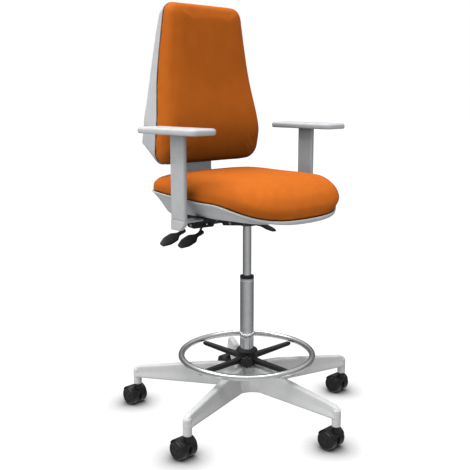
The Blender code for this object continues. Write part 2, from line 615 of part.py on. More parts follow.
def seat_parts(seat):
    def between(share, extra=0.0):
        return lambda x, y: seam_z(x, y) + share * (top_z(y) - seam_z(x, y)) + extra

    def under(drop):
        return lambda x, y: seam_z(x, y) - drop

    def bottom(drop):
        pole = [Vector((0, SEAT_MID_Y, seam_z(0, SEAT_MID_Y) - drop))]
        return [pole, seat_ring(0.0, under(drop), 0.5), seat_ring(0.020, under(drop))]

    rings = bottom(0.0) + [seat_ring(0.004, seam_z), seat_ring(0.0, between(0.10)),
                           seat_ring(-0.002, between(0.36)), seat_ring(0.004, between(0.62)),
                           seat_ring(0.020, between(0.82)), seat_ring(0.050, between(0.94)),
                           seat_ring(0.0, between(1.0, 0.006), 0.55),
                           [Vector((0, SEAT_MID_Y, SEAT_TOP + 0.012))]]
    place("seat_cushion", loft("cushion", rings), ORANGE, seat)
    place("seat_board", loft("board", bottom(0.0100) + bottom(0.0035)[::-1]), WOOD, seat)

    def wall_z(share):
        return lambda x, y: floor_z(y) + share * (lip_z(x, y) - floor_z(y))

    def rim_z(x, y):
        return 0.6 * seam_z(x, y) + 0.4 * lip_z(x, y)

    def tray_z(x, y):
        return SHELL_FLOOR if y > 0 else floor_z(y)

    rings = [seat_ring(0.0, under(GAP)), seat_ring(-0.0015, rim_z), seat_ring(0.0008, lip_z),
             seat_ring(0.021, wall_z(0.60)), seat_ring(0.038, wall_z(0.18)), seat_ring(0.054, wall_z(0.0)),
             seat_ring(0.076, tray_z), seat_ring(0.0, lambda x, y: SHELL_FLOOR, 0.3)]
    shell = place("seat_shell", loft("seat_shell", rings, close_start=False), WHITE, seat)
    wall = shell.modifiers.new("Solidify", "SOLIDIFY")
    wall.thickness = WALL
    wall.offset = -1
    wall.use_even_offset = True
    return shell


# ---- backrest -------------------------------------------------------------------------------------------
def back_outline(low_radius=0.045):
    """Front view of the backrest as (x, z): narrow top, widest low down, rounded corners."""
    half = [(BACK_TOP_HALF, BACK_HIGH, 0.040), (BACK_WIDE_HALF, BACK_WIDE_Z, 0.110),
            (BACK_LOW_HALF, BACK_LOW, low_radius)]
    corners = half + [(-x, z, r) for x, z, r in reversed(half)]
    arc = 3
    points = rounded(corners, arc)
    runs = (5, 1, 5, 1, 5, 4)         # pieces of each straight edge, from the top corner round to itself
    dense = []
    for i, (x, z) in enumerate(points):
        u, v = points[(i + 1) % len(points)]
        pieces = runs[i // (arc + 1)] if i % (arc + 1) == arc else 1
        dense += [(x + (u - x) * j / pieces, z + (v - z) * j / pieces) for j in range(pieces)]
    return dense


def back_seam_y(z):
    return BACK_SEAM_Y - LUMBAR * exp(-(((z - LUMBAR_Z) / 0.120) ** 2))


def cushion_depth(z):
    """Front padding: thicker at the lumbar than at the top."""
    return 0.040 + 0.014 * exp(-(((z - 0.98) / 0.26) ** 2))


def back_ring(inset, depth, scale=1.0, low=None, high=None, low_radius=0.045):
    """One ring of the backrest's outline, drawn in by inset, at depth(z) along Y."""
    middle = BACK_MIDDLE
    tall = (BACK_HIGH - BACK_LOW) / 2
    ring = []
    for x, z in back_outline(low_radius):
        x *= scale * (1 - inset / 0.19)
        z = middle + (z - middle) * scale * (1 - inset / tall)
        if low is not None:
            z = low + (z - BACK_LOW) / (BACK_HIGH - BACK_LOW) * (high - low)
        ring.append(Vector((x, depth(z), z)))
    return ring


def rear_y(z):
    """Rear face of the back shell: thin at the top, straight down the middle, a deep wedge low down."""
    for (low, y_low), (high, y_high) in zip(REAR_LINE, REAR_LINE[1:]):
        if z <= high:
            break
    return y_low + (y_high - y_low) * (z - low) / (high - low)


def back_parts(rest):
    def forward(share, extra=0.0):
        return lambda z: back_seam_y(z) - share * cushion_depth(z) - extra

    def flat(rearward):
        pole = [Vector((0, back_seam_y(BACK_MIDDLE) + rearward, BACK_MIDDLE))]
        return [pole, back_ring(0.0, forward(0.0, -rearward), 0.5), back_ring(0.024, forward(0.0, -rearward))]

    rings = flat(-0.0002) + [back_ring(0.004, forward(0.0, 0.0002)), back_ring(0.0, forward(0.12)),
                             back_ring(-0.003, forward(0.40)), back_ring(0.002, forward(0.75)),
                             back_ring(0.014, forward(0.97)), back_ring(0.040, forward(1.0, 0.005)),
                             back_ring(0.0, forward(1.0, 0.008), 0.5),
                             [Vector((0, forward(1.0, 0.009)(1.08), 1.082))]]
    place("back_cushion", loft("back_cushion", rings), ORANGE, rest)
    place("back_board", loft("back_board", flat(0.0008) + flat(0.0068)[::-1]), WOOD, rest)
    rim = back_ring(0.0, forward(0.0, -0.0003))
    lip = back_ring(-0.001, forward(0.0, -0.006))
    low, high = 0.884, 1.326
    shoulder = back_ring(0.003, rear_y, 1.0, low, high + 0.003, 0.020)
    rear = back_ring(0.012, lambda z: rear_y(z) + 0.004, 1.0, low + 0.003, high, 0.020)
    inner = back_ring(0.0, lambda z: rear_y(z) + 0.007, 0.55, low, high)
    pole = [Vector((0, rear_y(1.10) + 0.008, 1.10))]
    skin = loft("back_shell", [rim, lip, shoulder, rear, inner, pole], close_start=False)
    shell = place("back_shell", skin, WHITE, rest)
    wall = shell.modifiers.new("Solidify", "SOLIDIFY")
    wall.thickness = WALL
    wall.offset = -1
    half = COVER_HALF + 0.004
    slot = box_mesh("bar_slot", (-half, BAR_Y - 0.0290, 0.78), (half, BAR_Y + 0.0135, 0.899))
    combine(shell, cutter("bar_slot", slot, rest))


def back_frame(frame):
    """Bracket on the recline axle, bent steel bar that rises behind the seat, and the bar's plastic cover."""
    side = rounded([(0.100, 0.662, 0.004), (0.100, 0.640, 0.004), (0.118, 0.633, 0.006), (0.178, 0.633, 0.004),
                    (0.178, 0.645, 0.002), (0.150, 0.645, 0.002), (0.135, 0.668, 0.006), (0.110, 0.668, 0.006)], 3)
    shift = [(y - RECLINE_Y, z - RECLINE_Z) for y, z in side]
    form = outline_mesh("bracket", [shift, circle(AXLE_HOLE)], -0.050, 0.050, "YZ")
    bracket = place("back_bracket", form, STEEL, frame)
    slot = box_mesh("spring_room", (-0.0185, -0.030, -0.0095), (0.0185, 0.0155, 0.03))
    combine(bracket, cutter("spring_room", slot, frame))
    room = rod_mesh("spring_round", 0.0135, (-0.0185, 0, 0), (0.0185, 0, 0), 20)
    combine(bracket, cutter("spring_round", room, frame))
    path = [(0.1515, 0.6485), (0.222, 0.6485), (0.238, 0.6525), (0.2485, 0.664), (BAR_Y, 0.680), (BAR_Y, 0.898),
            (BAR_Y - 0.020, 0.930), (BAR_Y - 0.020, 1.000)]
    outer = []
    inner = []
    for i, (y, z) in enumerate(path):
        before = Vector(path[max(0, i - 1)])
        after = Vector(path[min(len(path) - 1, i + 1)])
        along = (after - before).normalized()
        outer.append((y + along.y * 0.003 - RECLINE_Y, z - along.x * 0.003 - RECLINE_Z))
        inner.append((y - along.y * 0.003 - RECLINE_Y, z + along.x * 0.003 - RECLINE_Z))
    strip = outline_mesh("bar", [outer + inner[::-1]], -BAR_HALF, BAR_HALF, "YZ")
    bar = place("back_bar", strip, STEEL, frame)
    bevel(bar, 0.0008, 1, 60)
    y = BAR_Y - RECLINE_Y
    z = -RECLINE_Z
    block = box_mesh("cover", (-COVER_HALF, y - 0.0095, 0.690 + z), (COVER_HALF, y + 0.0095, 0.892 + z))
    cover = place("back_bar_cover", block, WHITE, frame)
    bevel(cover, 0.005, 3)
    room = BAR_HALF + 0.0005
    hollow = box_mesh("hollow", (-room, y - 0.0035, 0.60 + z), (room, y + 0.0035, 1.0 + z))
    combine(cover, cutter("cover_hollow", hollow, frame))


# ---- arms -----------------------------------------------------------------------------------------------
def blade(half_x, half_y, radius):
    return rounded([(half_x, half_y, radius), (half_x, -half_y, radius), (-half_x, -half_y, radius),
                    (-half_x, half_y, radius)], 4)


def side_box(name, side, xs, ys, zs):
    """A box whose x range is measured outwards, or inwards, from the middle of the post."""
    x_low, x_high = sorted(side * x for x in xs)
    return box_mesh(name, (x_low, ys[0], zs[0]), (x_high, ys[1], zs[1]))


def arm(side, name, seat):
    x, y = side * ARM_X, ARM_Y
    half_x, half_y = POST_BLADE[0] / 2, POST_BLADE[1] / 2
    foot_at = empty(f"arm_{name}_foot_line", seat, (x, y, 0))
    inward = -side
    bar = [(inward * BAR_REACH, BAR_LOW), (-inward * 0.0025, BAR_LOW), (-inward * 0.0025, 0.900),
           (inward * 0.0025, 0.900), (inward * 0.0025, BAR_UP), (inward * BAR_REACH, BAR_UP)]
    strip = outline_mesh("arm_bar", [bar], -BAR_BAND, BAR_BAND, "XZ")
    steel = place(f"arm_{name}_bar", strip, PAINTED, foot_at)
    hole = rod_mesh("bolt_hole", 0.0043, (inward * BOLT_REACH, 0, 0.66), (inward * BOLT_REACH, 0, 0.70), 16)
    combine(steel, cutter(f"arm_{name}_bolt_hole", hole, foot_at))
    seat_z = BAR_LOW - SHEET - GAP
    bolt = [(0, BAR_UP - 0.001), (0.0040, BAR_UP - 0.001), (0.0040, seat_z), (0.0078, seat_z),
            (0.0078, seat_z - 0.0050), (0.0068, seat_z - 0.0060), (0, seat_z - 0.0060)]
    place_turned(f"arm_{name}_bolt", bolt, BRIGHT, foot_at, (inward * BOLT_REACH, 0, 0), steps=18)
    top = SLEEVE_LOW - GAP
    foot_side = [(half_y, top), (half_y, 0.6590), (-0.0095, 0.6590), (-half_y + 0.0015, 0.6775), (-half_y, top)]
    form = outline_mesh("foot", [foot_side], -half_x, half_x, "YZ")
    foot = place(f"arm_{name}_foot", form, WHITE, foot_at)
    bevel(foot, 0.004, 2, 60)
    room = box_mesh("foot_room", (-0.0028, -0.0223, 0.6797), (0.0028, 0.0223, 0.75))
    combine(foot, cutter(f"arm_{name}_foot_room", room, foot_at))
    way = side_box("foot_way", inward, (0, 0.03), (-0.0223, 0.0223), (0.6797, 0.6883))
    combine(foot, cutter(f"arm_{name}_foot_way", way, foot_at))
    slide = empty(f"arm_{name}_slide_line", seat, (x, y, 0))
    form = outline_mesh("sleeve", [blade(half_x, half_y, 0.0065)], SLEEVE_LOW, PAD_LOW - GAP)
    sleeve = place(f"arm_{name}_sleeve", form, WHITE, slide)
    inside = box_mesh("sleeve_room", (-0.0034, -0.0230, 0.60), (0.0034, 0.0230, 0.925))
    combine(sleeve, cutter(f"arm_{name}_sleeve_room", inside, slide))
    well = side_box("button_well", side, (0.0030, 0.02), (0.0085, 0.0215), (0.8595, 0.8745))
    combine(sleeve, cutter(f"arm_{name}_button_well", well, slide))
    form = outline_mesh("pad", [blade(*PAD_HALF, 0.020)], PAD_LOW, PAD_HIGH)
    pad = place(f"arm_{name}_pad", form, WHITE, slide, (side * PAD_OUT, 0.001, 0))
    bevel(pad, 0.007, 3, 60)
    press = empty(f"arm_{name}_button_line", slide)
    button = side_box("button", side, (0.0058, 0.0095), (0.0088, 0.0212), (0.8598, 0.8742))
    bevel(place(f"arm_{name}_button", button, WHITE, press), 0.0012, 1)


# ---- assembly -------------------------------------------------------------------------------------------
star_base()
column()
footring()
castors()
lift_group = empty("lift", chair)
gas_lift(lift_group)
housing(lift_group)
seat_group = empty("seat", lift_group)
seat_plate(seat_group)
axles_and_spring(seat_group)
for lever_name in LEVER_YS:
    lever(lever_name, seat_group)
seat_parts(seat_group)
frame_group = empty("back_frame", seat_group, (0, RECLINE_Y, RECLINE_Z))
back_frame(frame_group)
rest_group = empty("backrest", frame_group, (0, -RECLINE_Y, -RECLINE_Z))
back_parts(rest_group)
for arm_side, arm_name in ((-1, "right"), (1, "left")):
    arm(arm_side, arm_name, seat_group)
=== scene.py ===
"""Looks of the drafting chair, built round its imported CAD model. Metres, +Z up; the chair faces -Y.

Every shape is written in column coordinates: x and y from the column's axis, z from a datum just under the
floor. ORIGIN, which is read from the frame, brings them to the frame's own coordinates.
"""

import json
from math import copysign, cos, exp, pi, radians, sin, sqrt

import bmesh
import bpy
import numpy as np
from mathutils import Matrix, Vector

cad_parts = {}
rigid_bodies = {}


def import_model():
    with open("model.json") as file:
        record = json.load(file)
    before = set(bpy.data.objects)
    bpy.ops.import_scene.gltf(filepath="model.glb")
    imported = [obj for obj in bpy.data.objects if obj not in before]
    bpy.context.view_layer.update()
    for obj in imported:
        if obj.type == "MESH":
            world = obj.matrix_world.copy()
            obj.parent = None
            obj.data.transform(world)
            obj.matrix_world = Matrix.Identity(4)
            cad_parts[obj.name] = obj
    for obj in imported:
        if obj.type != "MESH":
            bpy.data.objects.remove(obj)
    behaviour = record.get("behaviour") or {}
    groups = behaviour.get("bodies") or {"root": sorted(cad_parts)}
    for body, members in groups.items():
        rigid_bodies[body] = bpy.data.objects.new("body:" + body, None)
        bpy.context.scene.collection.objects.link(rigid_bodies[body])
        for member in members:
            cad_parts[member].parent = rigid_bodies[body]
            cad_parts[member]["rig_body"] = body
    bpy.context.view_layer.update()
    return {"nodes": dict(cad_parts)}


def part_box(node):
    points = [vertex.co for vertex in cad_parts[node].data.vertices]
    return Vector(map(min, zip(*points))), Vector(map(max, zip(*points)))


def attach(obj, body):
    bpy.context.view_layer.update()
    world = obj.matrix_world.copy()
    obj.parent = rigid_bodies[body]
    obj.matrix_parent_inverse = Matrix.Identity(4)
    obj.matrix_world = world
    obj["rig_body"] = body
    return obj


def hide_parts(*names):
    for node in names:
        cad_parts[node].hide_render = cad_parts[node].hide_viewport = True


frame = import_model()

# ---- places read from the frame ----
TUBE_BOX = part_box("outer_tube")
TUBE_FOOT = 0.0865        # lower end of the outer tube over the datum
COLUMN_Y = (TUBE_BOX[0].y + TUBE_BOX[1].y) / 2
FLOOR = TUBE_FOOT - TUBE_BOX[0].z
ORIGIN = Vector((0, COLUMN_Y, -FLOOR))
GAP = 0.0003              # clearance that touching pieces keep
SIDES = ((-1, "right"), (1, "left"))


# ---- small node graphs ----
class Graph:
    """A material, or the world, with short ways to add the nodes that the finishes share."""

    def __init__(self, owner):
        owner.use_nodes = True
        self.tree = owner.node_tree
        self.nodes = self.tree.nodes

    def add(self, kind, inputs=None, **settings):
        node = self.nodes.new("ShaderNode" + kind)
        for key, value in settings.items():
            setattr(node, key, value)
        for key, value in (inputs or {}).items():
            self.set(node, key, value)
        return node

    def set(self, node, key, value):
        socket = node.inputs[key]
        if isinstance(value, bpy.types.NodeSocket):
            self.tree.links.new(value, socket)
        else:
            socket.default_value = value

    def math(self, operation, *values):
        node = self.add("Math", operation=operation)
        for i, value in enumerate(values):
            self.set(node, i, value)
        return node.outputs[0]

    def noise(self, scale, detail=3.0, vector=None, roughness=0.5):
        node = self.add("TexNoise", {"Scale": scale, "Detail": detail, "Roughness": roughness})
        self.set(node, "Vector", vector or self.place())
        return node.outputs["Fac"]

    def place(self):
        """Where a point is on the piece itself."""
        if not hasattr(self, "coordinates"):
            self.coordinates = self.add("TexCoord")
        return self.coordinates.outputs["Object"]

    def span(self, value, low, high, from_low=0.3, from_high=0.7):
        node = self.add("MapRange", {"Value": value, "From Min": from_low, "From Max": from_high,
                                     "To Min": low, "To Max": high})
        return node.outputs["Result"]

    def mix(self, factor, first, second):
        node = self.add("Mix", {"Factor": factor}, data_type="RGBA")
        self.set(node, 6, first)
        self.set(node, 7, second)
        return node.outputs[2]

    def blend(self, first, share, second):
        """share of the first value and the rest of the second."""
        return self.math("ADD", self.math("MULTIPLY", first, share), self.math("MULTIPLY", second, 1 - share))

    def stretched(self, scale):
        return self.add("Mapping", {"Vector": self.place(), "Scale": scale}).outputs["Vector"]


class Finish(Graph):
    """A Principled material whose colour, roughness and relief come from its own nodes."""

    def __init__(self, name, slot, metallic=0.0, **sockets):
        self.material = bpy.data.materials.new(name)
        self.slot = slot
        super().__init__(self.material)
        self.shader = self.nodes["Principled BSDF"]
        self.shader.inputs["Metallic"].default_value = metallic
        for key, value in sockets.items():
            self.shader.inputs[key.replace("_", " ").title().replace("Ior", "IOR")].default_value = value

    def colour(self, first, second, factor):
        self.set(self.shader, "Base Color", self.mix(factor, (*first, 1), (*second, 1)))

    def roughness(self, value):
        self.set(self.shader, "Roughness", value)

    def relief(self, height, depth, strength=1.0, under=None):
        """Adds a bump of the given real depth, over another one if it is given."""
        node = self.add("Bump", {"Height": height, "Distance": depth, "Strength": strength})
        if under is not None:
            self.set(node, "Normal", under)
        self.set(self.shader, "Normal", node.outputs["Normal"])
        return node.outputs["Normal"]


def worn_edges(finish):
    """1 on outer edges, where handling polishes a piece, and 0 elsewhere."""
    geometry = finish.add("NewGeometry")
    return finish.span(geometry.outputs["Pointiness"], 0.0, 1.0, 0.50, 0.58)


def fabric():
    """Plain-woven upholstery: a 1.5 mm weave, fibre flecks and a soft sheen."""
    made = Finish("orange_upholstery", "orange_fabric", sheen_weight=0.03, sheen_roughness=0.45,
                  sheen_tint=(1.0, 0.55, 0.20, 1.0), specular_ior_level=0.12)
    axes = made.add("SeparateXYZ", {"Vector": made.place()})
    x, y, z = (axes.outputs[i] for i in range(3))
    turns = 2 * pi / 0.0030
    wander = made.math("MULTIPLY", made.noise(160, 2), 1.6)
    phases = [made.math("MULTIPLY", made.math("ADD", axis, z), turns) for axis in (x, y)]
    warp, weft = (made.math("SINE", made.math("ADD", phase, wander)) for phase in phases)
    weave = made.math("MULTIPLY", warp, weft)
    thread = made.math("MULTIPLY_ADD", weave, 0.35, 0.5)
    flecks = made.noise(1500, 4)
    patches = made.noise(22, 4)
    tone = made.blend(made.blend(thread, 0.45, flecks), 0.75, patches)
    made.colour((0.64, 0.148, 0.0130), (0.90, 0.220, 0.0230), made.span(tone, 0.0, 1.0, 0.30, 0.70))
    made.roughness(made.span(flecks, 0.74, 0.92))
    under = made.relief(flecks, 0.00025, 0.30)
    made.relief(weave, 0.00022, 0.45, under)
    return made


def moulded(name, slot, dark, light, low, high, grain=1400, depth=0.00006, wear=0.0, **sockets):
    """Moulded plastic or paint: fine grain, faint flow marks, and roughness that varies with handling."""
    made = Finish(name, slot, **sockets)
    grains = made.noise(grain, 2)
    clouds = made.noise(35, 4)
    made.colour(dark, light, made.span(made.blend(grains, 0.3, clouds), 0.0, 1.0, 0.35, 0.65))
    rough = made.span(clouds, low, high)
    if wear:
        rough = made.math("SUBTRACT", rough, made.math("MULTIPLY", worn_edges(made), wear))
    made.roughness(rough)
    swell = made.relief(made.noise(60, 1), 0.00012, 0.15)
    made.relief(grains, depth, 0.35, swell)
    return made


def metal(name, slot, dark, light, low, high, brush=None, brush_depth=0.00002):
    """Bare or plated metal with faint smudges, and with brush lines where it is ground."""
    made = Finish(name, slot, metallic=1.0)
    smudges = made.noise(48, 5)
    made.colour(dark, light, made.span(smudges, 0.0, 1.0, 0.30, 0.60))
    lines = made.noise(1.0, 3, made.stretched(brush)) if brush else made.noise(900, 2)
    made.roughness(made.span(made.blend(smudges, 0.7, lines), low, high))
    made.relief(lines, brush_depth, 0.25 if brush else 0.06)
    return made


def plywood():
    made = Finish("pressed_plywood", "plywood")
    grain = made.noise(1.0, 5, made.stretched((260, 9, 90)))
    made.colour((0.42, 0.26, 0.13), (0.66, 0.47, 0.28), made.span(grain, 0.0, 1.0, 0.35, 0.65))
    made.roughness(made.span(grain, 0.60, 0.80))
    made.relief(grain, 0.0002, 0.4)
    return made


FABRIC = fabric()
PALE = ("light_grey_plastic", (0.755, 0.770, 0.785), (0.815, 0.830, 0.845), 0.34, 0.46)
SHELL = moulded("light_grey_shell", *PALE, wear=0.06)
# The bar cover's plastic glows faintly blue-grey: painted light that brightens it in the shade under the
# backrest.
COVER_WITH_PAINTED_GLOW = moulded("light_grey_cover_painted_glow", *PALE, emission_color=(0.72, 0.78, 0.86, 1.0), emission_strength=0.10)
BASE = moulded("light_grey_base", "base_grey", (0.850, 0.855, 0.860), (0.900, 0.905, 0.910), 0.36, 0.50,
               wear=0.08)
BLACK = moulded("black_moulding", "black_plastic", (0.010, 0.010, 0.011), (0.020, 0.020, 0.021), 0.42, 0.58,
                grain=900, depth=0.00016, wear=0.10)
TYRE = moulded("castor_nylon", "castor_black", (0.008, 0.008, 0.009), (0.015, 0.015, 0.016), 0.34, 0.48,
               wear=0.08)
PAINT = moulded("black_powder_coat", "black_steel", (0.012, 0.012, 0.013), (0.022, 0.022, 0.024), 0.30, 0.42,
                grain=520, depth=0.00016, wear=0.05)
ARM_PAINT = moulded("grey_powder_coat", "grey_painted_steel", (0.66, 0.67, 0.68), (0.74, 0.75, 0.76),
                    0.30, 0.44, grain=520, depth=0.00014, wear=0.05)
CHROME = metal("polished_chrome", "chrome", (0.78, 0.79, 0.81), (0.86, 0.87, 0.89), 0.045, 0.115)
RING_CHROME = metal("chromed_ring", "chrome", (0.86, 0.87, 0.89), (0.93, 0.94, 0.95), 0.15, 0.24)
STEEL = metal("ground_steel", "bright_steel", (0.50, 0.50, 0.52), (0.64, 0.64, 0.66), 0.22, 0.36,
              (900, 60, 60), 0.00003)
WOOD = plywood()


# ---- mesh work ----
TOUCHING = 1e-6           # a ring narrower than this is a pole


def full_turn(count):
    """Evenly spaced angles round a circle."""
    return [2 * pi * i / count for i in range(count)]


def polar(radius, angle, height):
    return Vector((radius * cos(angle), radius * sin(angle), height))


def squared(value, power):
    """A cosine or sine raised to a power with its sign kept, which squares a circle off."""
    return copysign(abs(value) ** power, value)


def to_mesh(bm, name, angle=35):
    bmesh.ops.recalc_face_normals(bm, faces=bm.faces)
    mesh = bpy.data.meshes.new(name)
    bm.to_mesh(mesh)
    bm.free()
    mesh.shade_smooth()
    mesh.set_sharp_from_angle(angle=radians(angle))
    return mesh


def linked(name, data):
    made = bpy.data.objects.new(name, data)
    bpy.context.scene.collection.objects.link(made)
    return made


def evaluated(obj):
    graph = bpy.context.evaluated_depsgraph_get()
    return bpy.data.meshes.new_from_object(obj.evaluated_get(graph))


def settled(obj, modifiers, angle):
    """The mesh as the modifiers leave it; the working object goes."""
    for kind, settings in modifiers:
        step = obj.modifiers.new(kind, kind)
        for key, value in settings.items():
            setattr(step, key, value)
    bpy.context.view_layer.update()
    mesh = evaluated(obj)
    bpy.data.objects.remove(obj)
    mesh.shade_smooth()
    mesh.set_sharp_from_angle(angle=radians(angle))
    return mesh


def modified(mesh, *modifiers, angle=35):
    return settled(linked("work", mesh), modifiers, angle)


def bevelled(mesh, width, segments=3, limit=35, angle=35):
    settings = {"width": width, "segments": segments, "limit_method": "ANGLE", "angle_limit": radians(limit)}
    return modified(mesh, ("BEVEL", settings), angle=angle)


def joined(base, others, operation="UNION", angle=35):
    """base with each other mesh united with it, or cut from it."""
    helpers = [linked("work", other) for other in others]
    steps = [("BOOLEAN", {"object": helper, "operation": operation, "solver": "EXACT"}) for helper in helpers]
    mesh = modified(base, *steps, angle=angle)
    for helper in helpers:
        bpy.data.objects.remove(helper)
    return mesh


def cut(mesh, tools, angle=30):
    return joined(mesh, tools, "DIFFERENCE", angle)


def remoulded(mesh, voxel, rounds, angle=60):
    """Melts joined shapes into one skin with small fillets, as a mould leaves them."""
    remesh = ("REMESH", {"mode": "VOXEL", "voxel_size": voxel, "use_smooth_shade": True})
    smooth = ("SMOOTH", {"factor": 0.5, "iterations": rounds})
    return modified(mesh, remesh, smooth, angle=angle)


def moved(mesh, matrix):
    mesh.transform(matrix)
    return mesh


def spin(angle, axis="Z"):
    return Matrix.Rotation(angle, 4, axis)


def turned_by(mesh, angle):
    return moved(mesh.copy(), spin(angle))


def box(low, high):
    bm = bmesh.new()
    bmesh.ops.create_cube(bm, size=1.0)
    size = Vector(high) - Vector(low)
    middle = (Vector(high) + Vector(low)) / 2
    bmesh.ops.transform(bm, matrix=Matrix.Translation(middle) @ Matrix.Diagonal((*size, 1.0)), verts=bm.verts)
    return to_mesh(bm, "box")


def skin(name, rings, looped=False, angle=35):
    """Quads over rings of equally many points. One point is a pole; looped rings close on the first."""
    bm = bmesh.new()
    made = [[bm.verts.new(point) for point in ring] for ring in rings]
    for first, second in zip(made, made[1:] + made[:1] if looped else made[1:]):
        count = max(len(first), len(second))
        for i in range(count):
            j = (i + 1) % count
            if len(second) == 1:
                bm.faces.new((first[i], first[j], second[0]))
            elif len(first) == 1:
                bm.faces.new((first[0], second[j], second[i]))
            else:
                bm.faces.new((first[i], first[j], second[j], second[i]))
    for end in (made[0], made[-1]):
        if len(end) > 1 and not looped:
            bm.faces.new(end)
    return to_mesh(bm, name, angle)


def eased(rings, steps):
    """Rings between the given ones, on a smooth curve through them (Catmull-Rom)."""
    steps = steps if isinstance(steps, (list, tuple)) else [steps] * (len(rings) - 1)
    arrays = [np.array([tuple(p) for p in ring], float) for ring in rings]
    count = max(len(a) for a in arrays)
    arrays = [np.repeat(a, count, axis=0) if len(a) == 1 else a for a in arrays]
    result = []
    for i, pieces in enumerate(steps):
        a, b, c, d = (arrays[min(max(k, 0), len(arrays) - 1)] for k in (i - 1, i, i + 1, i + 2))
        for j in range(pieces):
            t = j / pieces
            result.append(0.5 * (2 * b + (c - a) * t + (2 * a - 5 * b + 4 * c - d) * t ** 2
                                 + (3 * b - a - 3 * c + d) * t ** 3))
    result.append(arrays[-1])
    made = []
    for array in result:
        flat = np.ptp(array, axis=0).max() < 1e-7
        made.append([Vector(array[0])] if flat else [Vector(point) for point in array])
    return made


def lathe(name, profile, steps=72, closed=False, angle=35):
    """A profile of (radius, height) turned round Z. A point on the axis is a pole."""
    rings = []
    for radius, height in profile:
        turn = full_turn(steps) if radius > TOUCHING else [0.0]
        rings.append([polar(radius, a, height) for a in turn])
    return skin(name, rings, closed, angle)


def cylinder(radius, high, low, steps):
    return lathe("cylinder", [(0, high), (radius, high), (radius, low), (0, low)], steps)


def arc_points(before, corner, after, radius, steps):
    """The points of the arc that rounds one corner of a line."""
    here = Vector(corner)
    first = (Vector(before) - here).normalized()
    second = (Vector(after) - here).normalized()
    half = first.angle(second) / 2
    if radius <= 0 or half > radians(89.5):
        return [tuple(here)]
    reach = radius / max(0.001, abs(sin(half) / cos(half)))
    centre = here + (first + second).normalized() * (radius / sin(half))
    start = here + first * reach - centre
    turn = start.angle_signed(here + second * reach - centre)
    return [tuple(centre + Matrix.Rotation(-turn * step / steps, 2) @ start) for step in range(steps + 1)]


def rounded(corners, steps=6, cyclic=True):
    """A line through (u, v, radius) corners, each rounded by its own arc."""
    outline = []
    last = len(corners) - 1
    for i, (u, v, radius) in enumerate(corners):
        if not cyclic and i in (0, last):
            outline.append((u, v))
            continue
        outline += arc_points(corners[i - 1][:2], (u, v), corners[(i + 1) % len(corners)][:2], radius, steps)
    return outline


def plate(outline, low, high, axes="XY", edge=0.0, segments=3, limit=50):
    """A flat outline with thickness, its rims rounded by edge."""
    places = {"XY": lambda u, v, w: (u, v, w), "YZ": lambda u, v, w: (w, u, v), "XZ": lambda u, v, w: (u, w, v)}
    rings = [[Vector(places[axes](u, v, w)) for u, v in outline] for w in (low, high)]
    mesh = skin("plate", rings, angle=30)
    return bevelled(mesh, edge, segments, limit, 30) if edge else mesh


def side_box(side, near, far, low, high):
    """A box from near to far on one side of X, between two (y, z) corners."""
    first, second = sorted((side * near, side * far))
    return box((first, *low), (second, *high))


def both_sides(x, side, pinch=1.0):
    """A ring across X through one side's (y, z) points and their mirror images."""
    return ([Vector((x, y * pinch, z)) for y, z in side]
            + [Vector((x, -y * pinch, z)) for y, z in reversed(side)])


def strip_outline(line, half):
    """Outline of a bent strip, half on either side of a line."""
    outer, inner = [], []
    for i, (u, v) in enumerate(line):
        along = (Vector(line[min(len(line) - 1, i + 1)]) - Vector(line[max(0, i - 1)])).normalized()
        outer.append((u + along.y * half, v - along.x * half))
        inner.append((u - along.y * half, v + along.x * half))
    return outer + inner[::-1]


def tube(path, radius, segments=20):
    """A round bar along a line of points."""
    points = [Vector(p) for p in path]
    across = Vector((0, 1, 0)) if abs((points[1] - points[0]).normalized().y) < 0.9 else Vector((1, 0, 0))
    rings = []
    for i, point in enumerate(points):
        along = (points[min(i + 1, len(points) - 1)] - points[max(i - 1, 0)]).normalized()
        first = (across - along * across.dot(along)).normalized()
        second = along.cross(first)
        across = first
        rings.append([point + (first * cos(a) + second * sin(a)) * radius for a in full_turn(segments)])
    return skin("tube", rings)


def piece(name, mesh, finish, body, nodes=(), location=ORIGIN, rotation=(0, 0, 0)):
    """Puts a mesh in the scene as one visible piece that rides on a CAD body."""
    made = linked(name, mesh)
    if not mesh.materials:
        mesh.materials.append(finish.material)
    made.location = location
    made.rotation_euler = rotation
    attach(made, body)
    if nodes:
        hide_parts(*([nodes] if isinstance(nodes, str) else nodes))
    return made


def refined(node, finish, width):
    """The CAD node's own shape with its edges rounded."""
    bm = bmesh.new()
    bm.from_mesh(frame["nodes"][node].data)
    bmesh.ops.remove_doubles(bm, verts=bm.verts, dist=0.00002)
    bmesh.ops.dissolve_limit(bm, angle_limit=radians(1), verts=bm.verts, edges=bm.edges)
    mesh = to_mesh(bm, node, 30)
    mesh.materials.clear()
    body = frame["nodes"][node]["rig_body"]
    piece(node + "_edged", bevelled(mesh, width, 2, 35, 30), finish, body, node, (0, 0, 0))


def recoloured(node, finish):
    """A CAD node that keeps its shape and takes a full material."""
    for slot in frame["nodes"][node].material_slots:
        slot.material = finish.material


# ---- base ----
LEG_COUNT = 5
FIRST_LEG = radians(270)
LEG_ANGLES = [FIRST_LEG + k * 2 * pi / LEG_COUNT for k in range(LEG_COUNT)]
STEM_CIRCLE = 0.379
BOSS_LOW = 0.0770
HUB_RADIUS, HUB_LOW, HUB_HIGH = 0.042, 0.098, 0.172
WEB_RADIUS, WEB_SWELL = 0.074, 0.034
TUBE_RADIUS, TUBE_TAPER = 0.0225, 0.0212
CASTOR_PIN = 0.0053


def leg_top(r):
    """Height of the leg's ridge: level at the hub, straight, then rounded down over the castor's boss."""
    straight = min(HUB_HIGH + 0.001, 0.1815 - 0.118 * (r - 0.045))
    over = max(0.0, r - 0.368) / 0.0262
    return straight - 0.022 * (1 - sqrt(max(0.0, 1 - over * over)))


